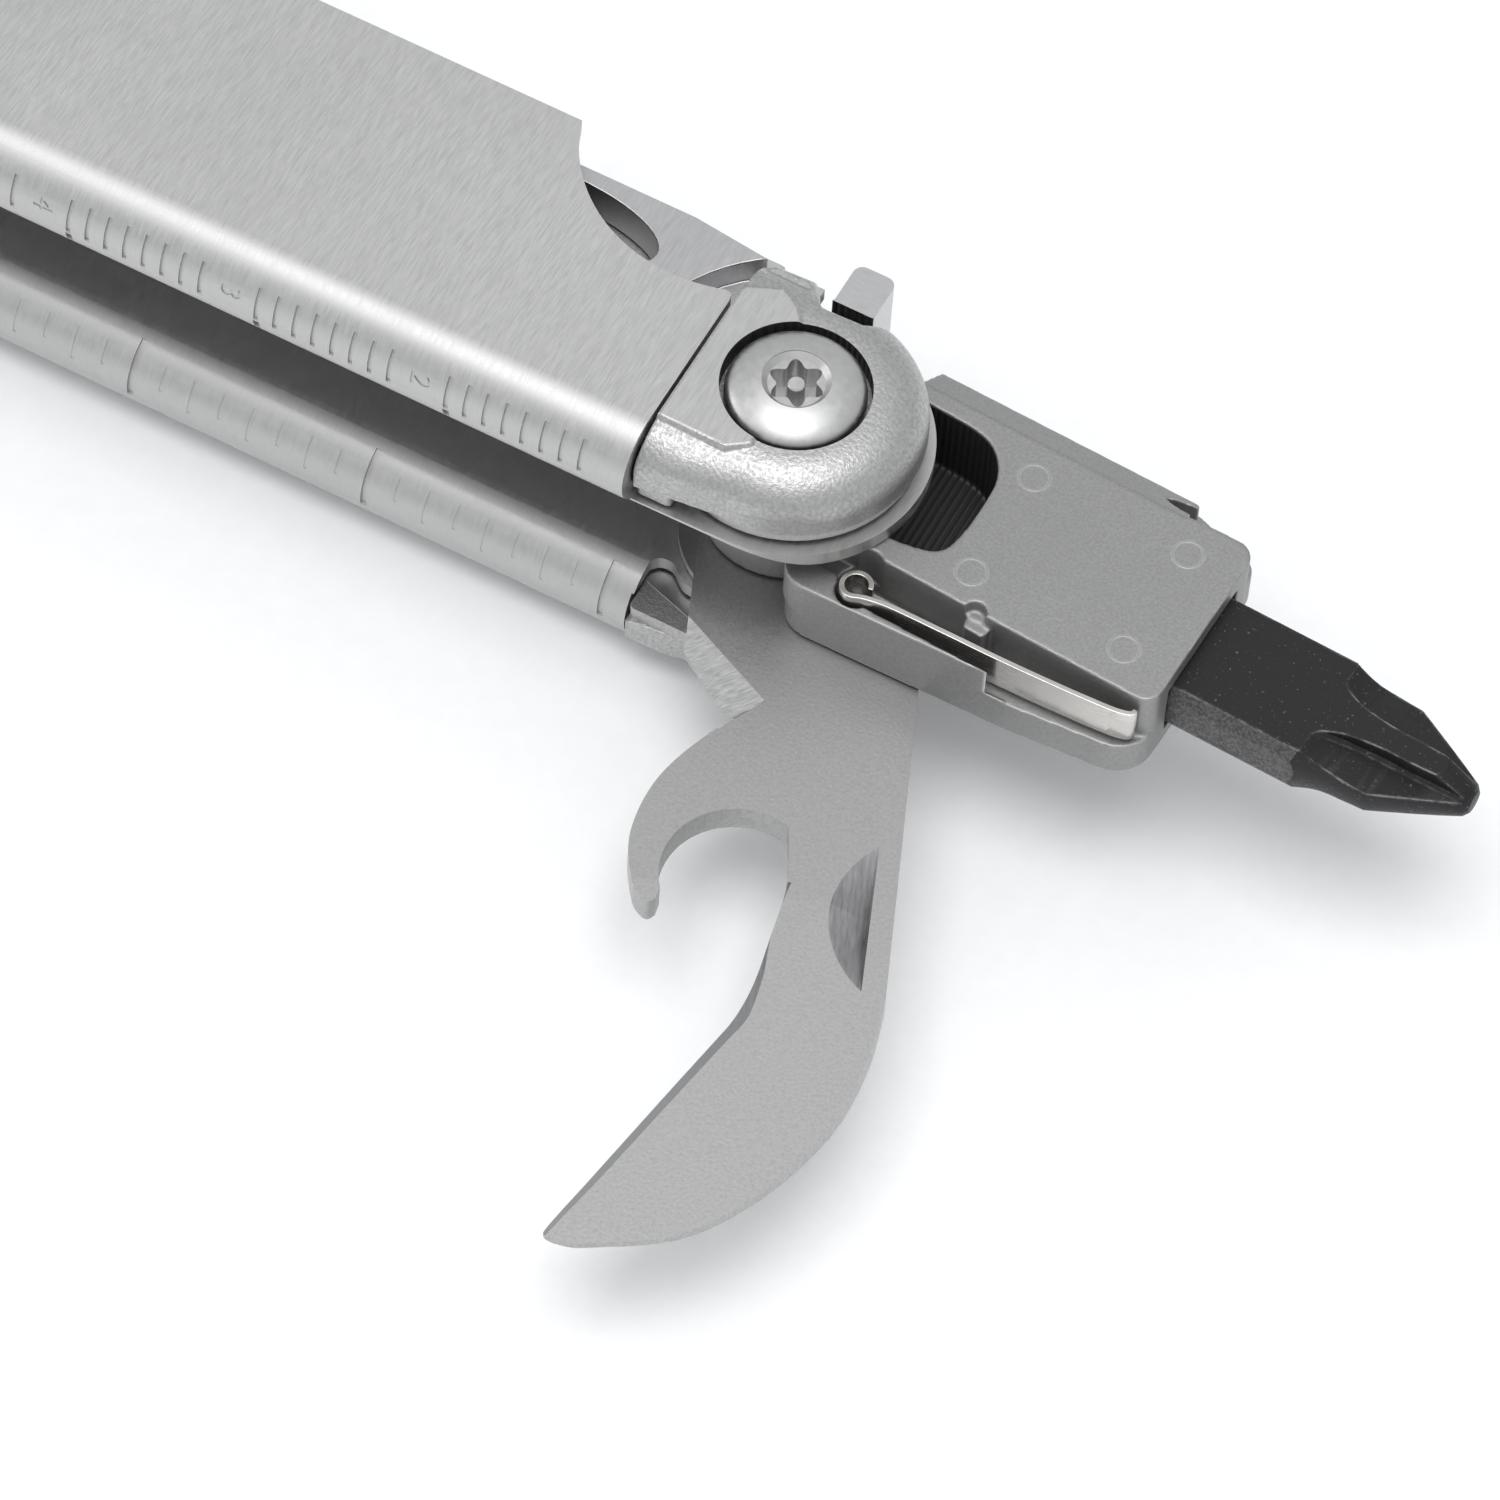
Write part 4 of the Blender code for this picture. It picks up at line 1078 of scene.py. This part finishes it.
def jaw_outline():
    """Jaw in the plier frame: tang towards its pin, half of the lap joint, and the nose."""
    grip = [(8.0, -0.1), (13.0, -0.1)]
    for i in range(7):
        grip += [(13.4 + 1.5 * i, -0.45), (14.2 + 1.5 * i, -0.1)]
    nose = grip + rounded([(24.6, -0.1, 0), (NOSE_LENGTH, -0.1, 0.3), (NOSE_LENGTH, -1.4, 0.9),
                           (15.0, -4.8, 3.0), (9.0, -5.2, 1.5), (3.3, -5.7, 0)])[1:-1]
    disc = arc(0, 0, LAP_RADIUS, 300, 150, 40)
    tang = [(-7.0, 2.6)] + arc(-PIN_BACK, PIN_PITCH / 2, 4.4, 238, 25, 40)
    return nose + disc + tang + arc(0, 0, LAP_RADIUS, 115, -2, 30)


def make_jaw(up):
    """One jaw; up is 1 for the jaw with the upper half of the lap joint."""
    half = JAW_HALF_THICKNESS
    body = plate(jaw_outline(), -half, half, side=up, holes=[
        circle(PIN_HOLE, -PIN_BACK, PIN_PITCH / 2), circle(2.9)])
    lap = sorted((up * LAP_GAP, -up * (half + 1)))
    cut(body, plate(circle(LAP_RADIUS + LAP_CLEARANCE, steps=80), *lap))
    start, end = 9.0, NOSE_LENGTH + 2
    for face in (1, -1):
        taper = [(start, face * half), (end, face * NOSE_HALF_TIP), (end, face * (half + 2)),
                 (start, face * (half + 2))]
        cut(body, plate(taper, -9, 9, turn=ON_EDGE))
    return eased(body, 0.18, 3)


# Assembly

def under_lever(face, side):
    """The lever end's underside, which faces the channel, painted dark as shade."""
    return (face.normal.y * side < -0.4 or face.center.y * side < 8.5) and face.center.x > -3.6


def on_land(face):
    """The flat, brushed part of the cap."""
    return abs(face.normal.z) > 0.999 and abs(face.center.z) > HALF_THICKNESS - 0.01


# The recess wall round the screw head, painted dark as shade.
def in_recess(face):
    return abs(face.normal.z) < 0.5 and face.center.xy.length < SCREW_RECESS_RADIUS + 0.03


def ground_face(face):
    """A face that slopes gently, so one that was ground after the blank was cut."""
    return 0.1 < abs(face.normal.z) < 0.985


def honed_shaded_face(face):
    """The opener's nail nick and the bevel along its cutting edge, whose ground finish is painted
    darker as shade.
    """
    return ground_face(face) and face.center.x > 14


def rubbed_facet(face):
    """The long sides of the hexagon, rubbed by the holder."""
    return abs(face.normal.z) < 0.9 and abs(face.normal.x) < 0.3 and face.center.x < 27.5


def in_window(face):
    """Inside the holder's window, in the holder's own millimetres; these faces are painted dark as
    shade.
    """
    x, y, z = turn_z(-DRIVER_SKEW) @ face.center
    inside = x < 9.3 and -2.35 < y < 5.75 and z < DRIVER_TOP - 0.2
    return inside and face.normal.z > -0.5


def tool_places(handle):
    stowed = handle.place @ turn_z(180)
    return stowed, stowed @ FLIP


def build_handle(handle, looks, shell, bolsters, screw, lever):
    tag, place, side, body = handle

    def copy(obj):
        return mirrored(link(obj.data.copy()), side)

    def fit(obj, name, look, node, crease=38, others=()):
        settle(obj, f"{tag}_{name}", place, looks[look], body, node, crease, others)

    fit(copy(shell), "sheet", "sheet", f"handle_{tag}_shell")
    for bolster, word in zip(bolsters, ("top", "bottom")):
        cap, head = copy(bolster), copy(screw)
        if word == "bottom":
            for piece in (cap, head):
                moved(piece, Matrix.Scale(-1, 4, (0, 0, 1))).data.flip_normals()
        fit(cap, f"{word}_cap", "cast", f"handle_{tag}_bolster_{word}",
            others=((looks["sheet"], on_land), (looks["dark"], in_recess)))
        fit(head, f"{word}_screw", "screw", f"tool_screw_{tag}_{word}", 30)
    post = plate(circle(POST_RADIUS), -POST_HALF, POST_HALF,
                 holes=[circle(SCREW_SHANK_RADIUS + 0.15)])
    fit(post, "post", "satin", f"tool_post_{tag}")
    washer = plate(circle(WASHER_RADIUS), WASHER_LOW, WASHER_TOP, holes=[circle(POST_HOLE)])
    fit(eased(washer, 0.08, 2), "washer", "satin", f"tool_washer_{tag}")
    settle(make_pin(8.5, 7.7, 3.0, 2.3), f"{tag}_plier_pin", place @ shift(-PIN_DISTANCE, 0),
           looks["screw"], body, f"plier_pin_{tag}")
    lever_body = f"lock_lever_{tag}"
    settle(copy(lever), f"{tag}_lever", place, looks["satin"], lever_body, lever_body,
           others=((looks["dark"], lambda face: under_lever(face, side)),))
    lever_pin = plate(lock_pin_circle(0), -LOCK_PIN_HALF, LOCK_PIN_HALF, side=side)
    fit(eased(lever_pin, 0.08, 2), "lever_pin", "satin", f"lock_pin_{tag}")


def build_blades(handle, look, blades):
    """Puts the outer blades in the upper and the lower slot; each is modelled for handle A's upper."""
    upper, lower = tool_places(handle)
    slots = ((upper, handle.side), (lower, -handle.side))
    for (place, side), (obj, name, body) in zip(slots, blades):
        settle(mirrored(obj, side), name, place, look, body, body)


def build_tools(handle_a, handle_b, looks):
    build_blades(handle_a, looks["blade"], (
        (make_knife(), "knife_blade", "plain_knife"), (make_saw(), "saw_blade", "wood_saw")))
    build_blades(handle_b, looks["blade"], (
        (make_serrated(), "serrated_blade", "serrated_knife"),
        (make_file(), "file_blade", "metal_file")))

    skewed = handle_a.place @ turn_z(DRIVER_SKEW)
    settle(make_driver(), "driver_casting", handle_a.place, looks["grey"], "bit_driver",
           "bit_driver", 60, ((looks["ribbed_shade"], in_window),))
    settle(make_spring(), "driver_spring", skewed, looks["spring"], "bit_driver",
           "bit_retention_spring")
    settle(make_bit(), "cross_bit", skewed, looks["oxide"], "phillips_bit",
           "phillips_bit", 30, ((looks["rubbed"], rubbed_facet),))
    settle(make_opener(), "opener_plate", handle_a.place @ turn_z(OPENER_REST), looks["opener"],
           "can_opener", "can_opener", 30,
           ((looks["ground"], ground_face), (looks["honed_shade"], honed_shaded_face)))

    stowed, _ = tool_places(handle_b)
    for name, obj, look, slot in (
            ("medium_screwdriver", make_screwdriver(39.0, 5.2, 1.9, 3.55), looks["satin"], "blade"),
            ("small_screwdriver", make_screwdriver(37.0, 3.0, -3.1, -1.75), looks["satin"], "blade"),
            ("small_bit_driver", make_small_driver(), looks["grey"], "driver"),
            ("small_bit", make_small_bit(), looks["oxide"], "oxide")):
        settle(mirrored(obj, handle_b.side), name + "_detail", stowed, look, name, name)


def build_object():
    looks = make_looks()
    place_a = shift(REST_POINT, 0, HALF_THICKNESS)
    pin_a = place_a @ shift(-PIN_DISTANCE, 0)
    plier_place = pin_a @ turn_z(360 - FOLD_TRAVEL) @ shift(PIN_BACK, -PIN_PITCH / 2)
    pin_b = plier_place @ shift(-PIN_BACK, -PIN_PITCH / 2)
    swing = 2 * (180 - FOLD_TRAVEL) + HANDLE_B_SWING
    place_b = Matrix.Translation(pin_b.to_translation()) @ turn_z(swing) @ shift(PIN_DISTANCE, 0)
    handle_a = Handle("a", place_a, 1, "handle_a")
    handle_b = Handle("b", place_b, -1, "handle_b")

    shell, screw, lever = make_shell(), make_screw(), make_lever()
    bolsters = [make_bolster(-2.9, LINER_TOP + 0.15), make_bolster(-0.8, BLADE_LOW + 0.03)]
    for handle in (handle_a, handle_b):
        build_handle(handle, looks, shell, bolsters, screw, lever)
    for master in (shell, screw, lever, *bolsters):
        bpy.data.objects.remove(master, do_unlink=True)
    build_tools(handle_a, handle_b, looks)
    for up, jaw in ((1, "jaw_a"), (-1, "jaw_b")):
        settle(make_jaw(up), f"{jaw}_detail", plier_place, looks["satin"], jaw, jaw)
    settle(make_pin(3.62, 3.43, 4.1, 2.7, 0.12), "jaw_rivet", plier_place, looks["screw"], "jaw_a",
           "jaw_pivot_pin")


# Studio

def add_camera():
    lens = bpy.data.cameras.new("camera")
    lens.lens = CAMERA_LENS
    lens.sensor_width = 36.0
    lens.clip_start, lens.clip_end = 0.01, 20.0
    camera = bpy.data.objects.new("camera", lens)
    bpy.context.scene.collection.objects.link(camera)
    camera.matrix_world = (
        Matrix.Translation(CAMERA_PLACE) @ turn_z(CAMERA_AZIMUTH)
        @ turn_x(90.0 - CAMERA_ELEVATION) @ turn_z(CAMERA_ROLL))
    bpy.context.scene.camera = camera


def add_area(name, place, target, size, watts):
    light = bpy.data.lights.new(name, "AREA")
    light.shape = "RECTANGLE"
    light.size, light.size_y = size
    light.energy = watts
    lamp = bpy.data.objects.new(name, light)
    bpy.context.scene.collection.objects.link(lamp)
    lamp.location = place
    lamp.rotation_euler = (Vector(target) - Vector(place)).to_track_quat("-Z", "Y").to_euler()


def add_floor():
    bpy.ops.mesh.primitive_plane_add(size=6.0, location=(0, 0, cad_box[0].z - 0.0002))
    floor = bpy.context.object
    floor.name = "table"
    material, tree, shader = new_material("table")
    weave = ranged(tree, noise(tree, (900,) * 3, 3.0), 0.0, 1.0)
    tone = mixed(tree, weave, (0.95, 0.955, 0.965), (0.98, 0.983, 0.99))
    feed(tree, shader.inputs["Base Color"], tone)
    feed(tree, shader.inputs["Roughness"], 0.7)
    floor.data.materials.append(material)


def add_world():
    world = bpy.data.worlds.new("studio")
    bpy.context.scene.world = world
    world.use_nodes = True
    tree = world.node_tree
    sky = new_node(tree, "TexCoord", "Generated", {})
    height = new_node(tree, "SeparateXYZ", "Z", {"Vector": sky})
    tone = mixed(tree, ranged(tree, height, 0.0, 1.0, 0.0, 1.0), (0.6, 0.605, 0.615),
                 (0.78, 0.785, 0.8))
    background = tree.nodes["Background"]
    feed(tree, background.inputs["Color"], tone)
    feed(tree, background.inputs["Strength"], 1.0)


def add_studio():
    bpy.context.scene.view_settings.view_transform = "Standard"
    add_camera()
    add_floor()
    add_world()
    add_area("key", (0.05, -0.12, 0.85), (0.03, 0, 0), (0.6, 0.5), 3.4)
    add_area("side", (-0.75, -0.25, 0.35), (0.03, 0, 0), (0.4, 0.3), 1.0)


build_object()
add_studio()
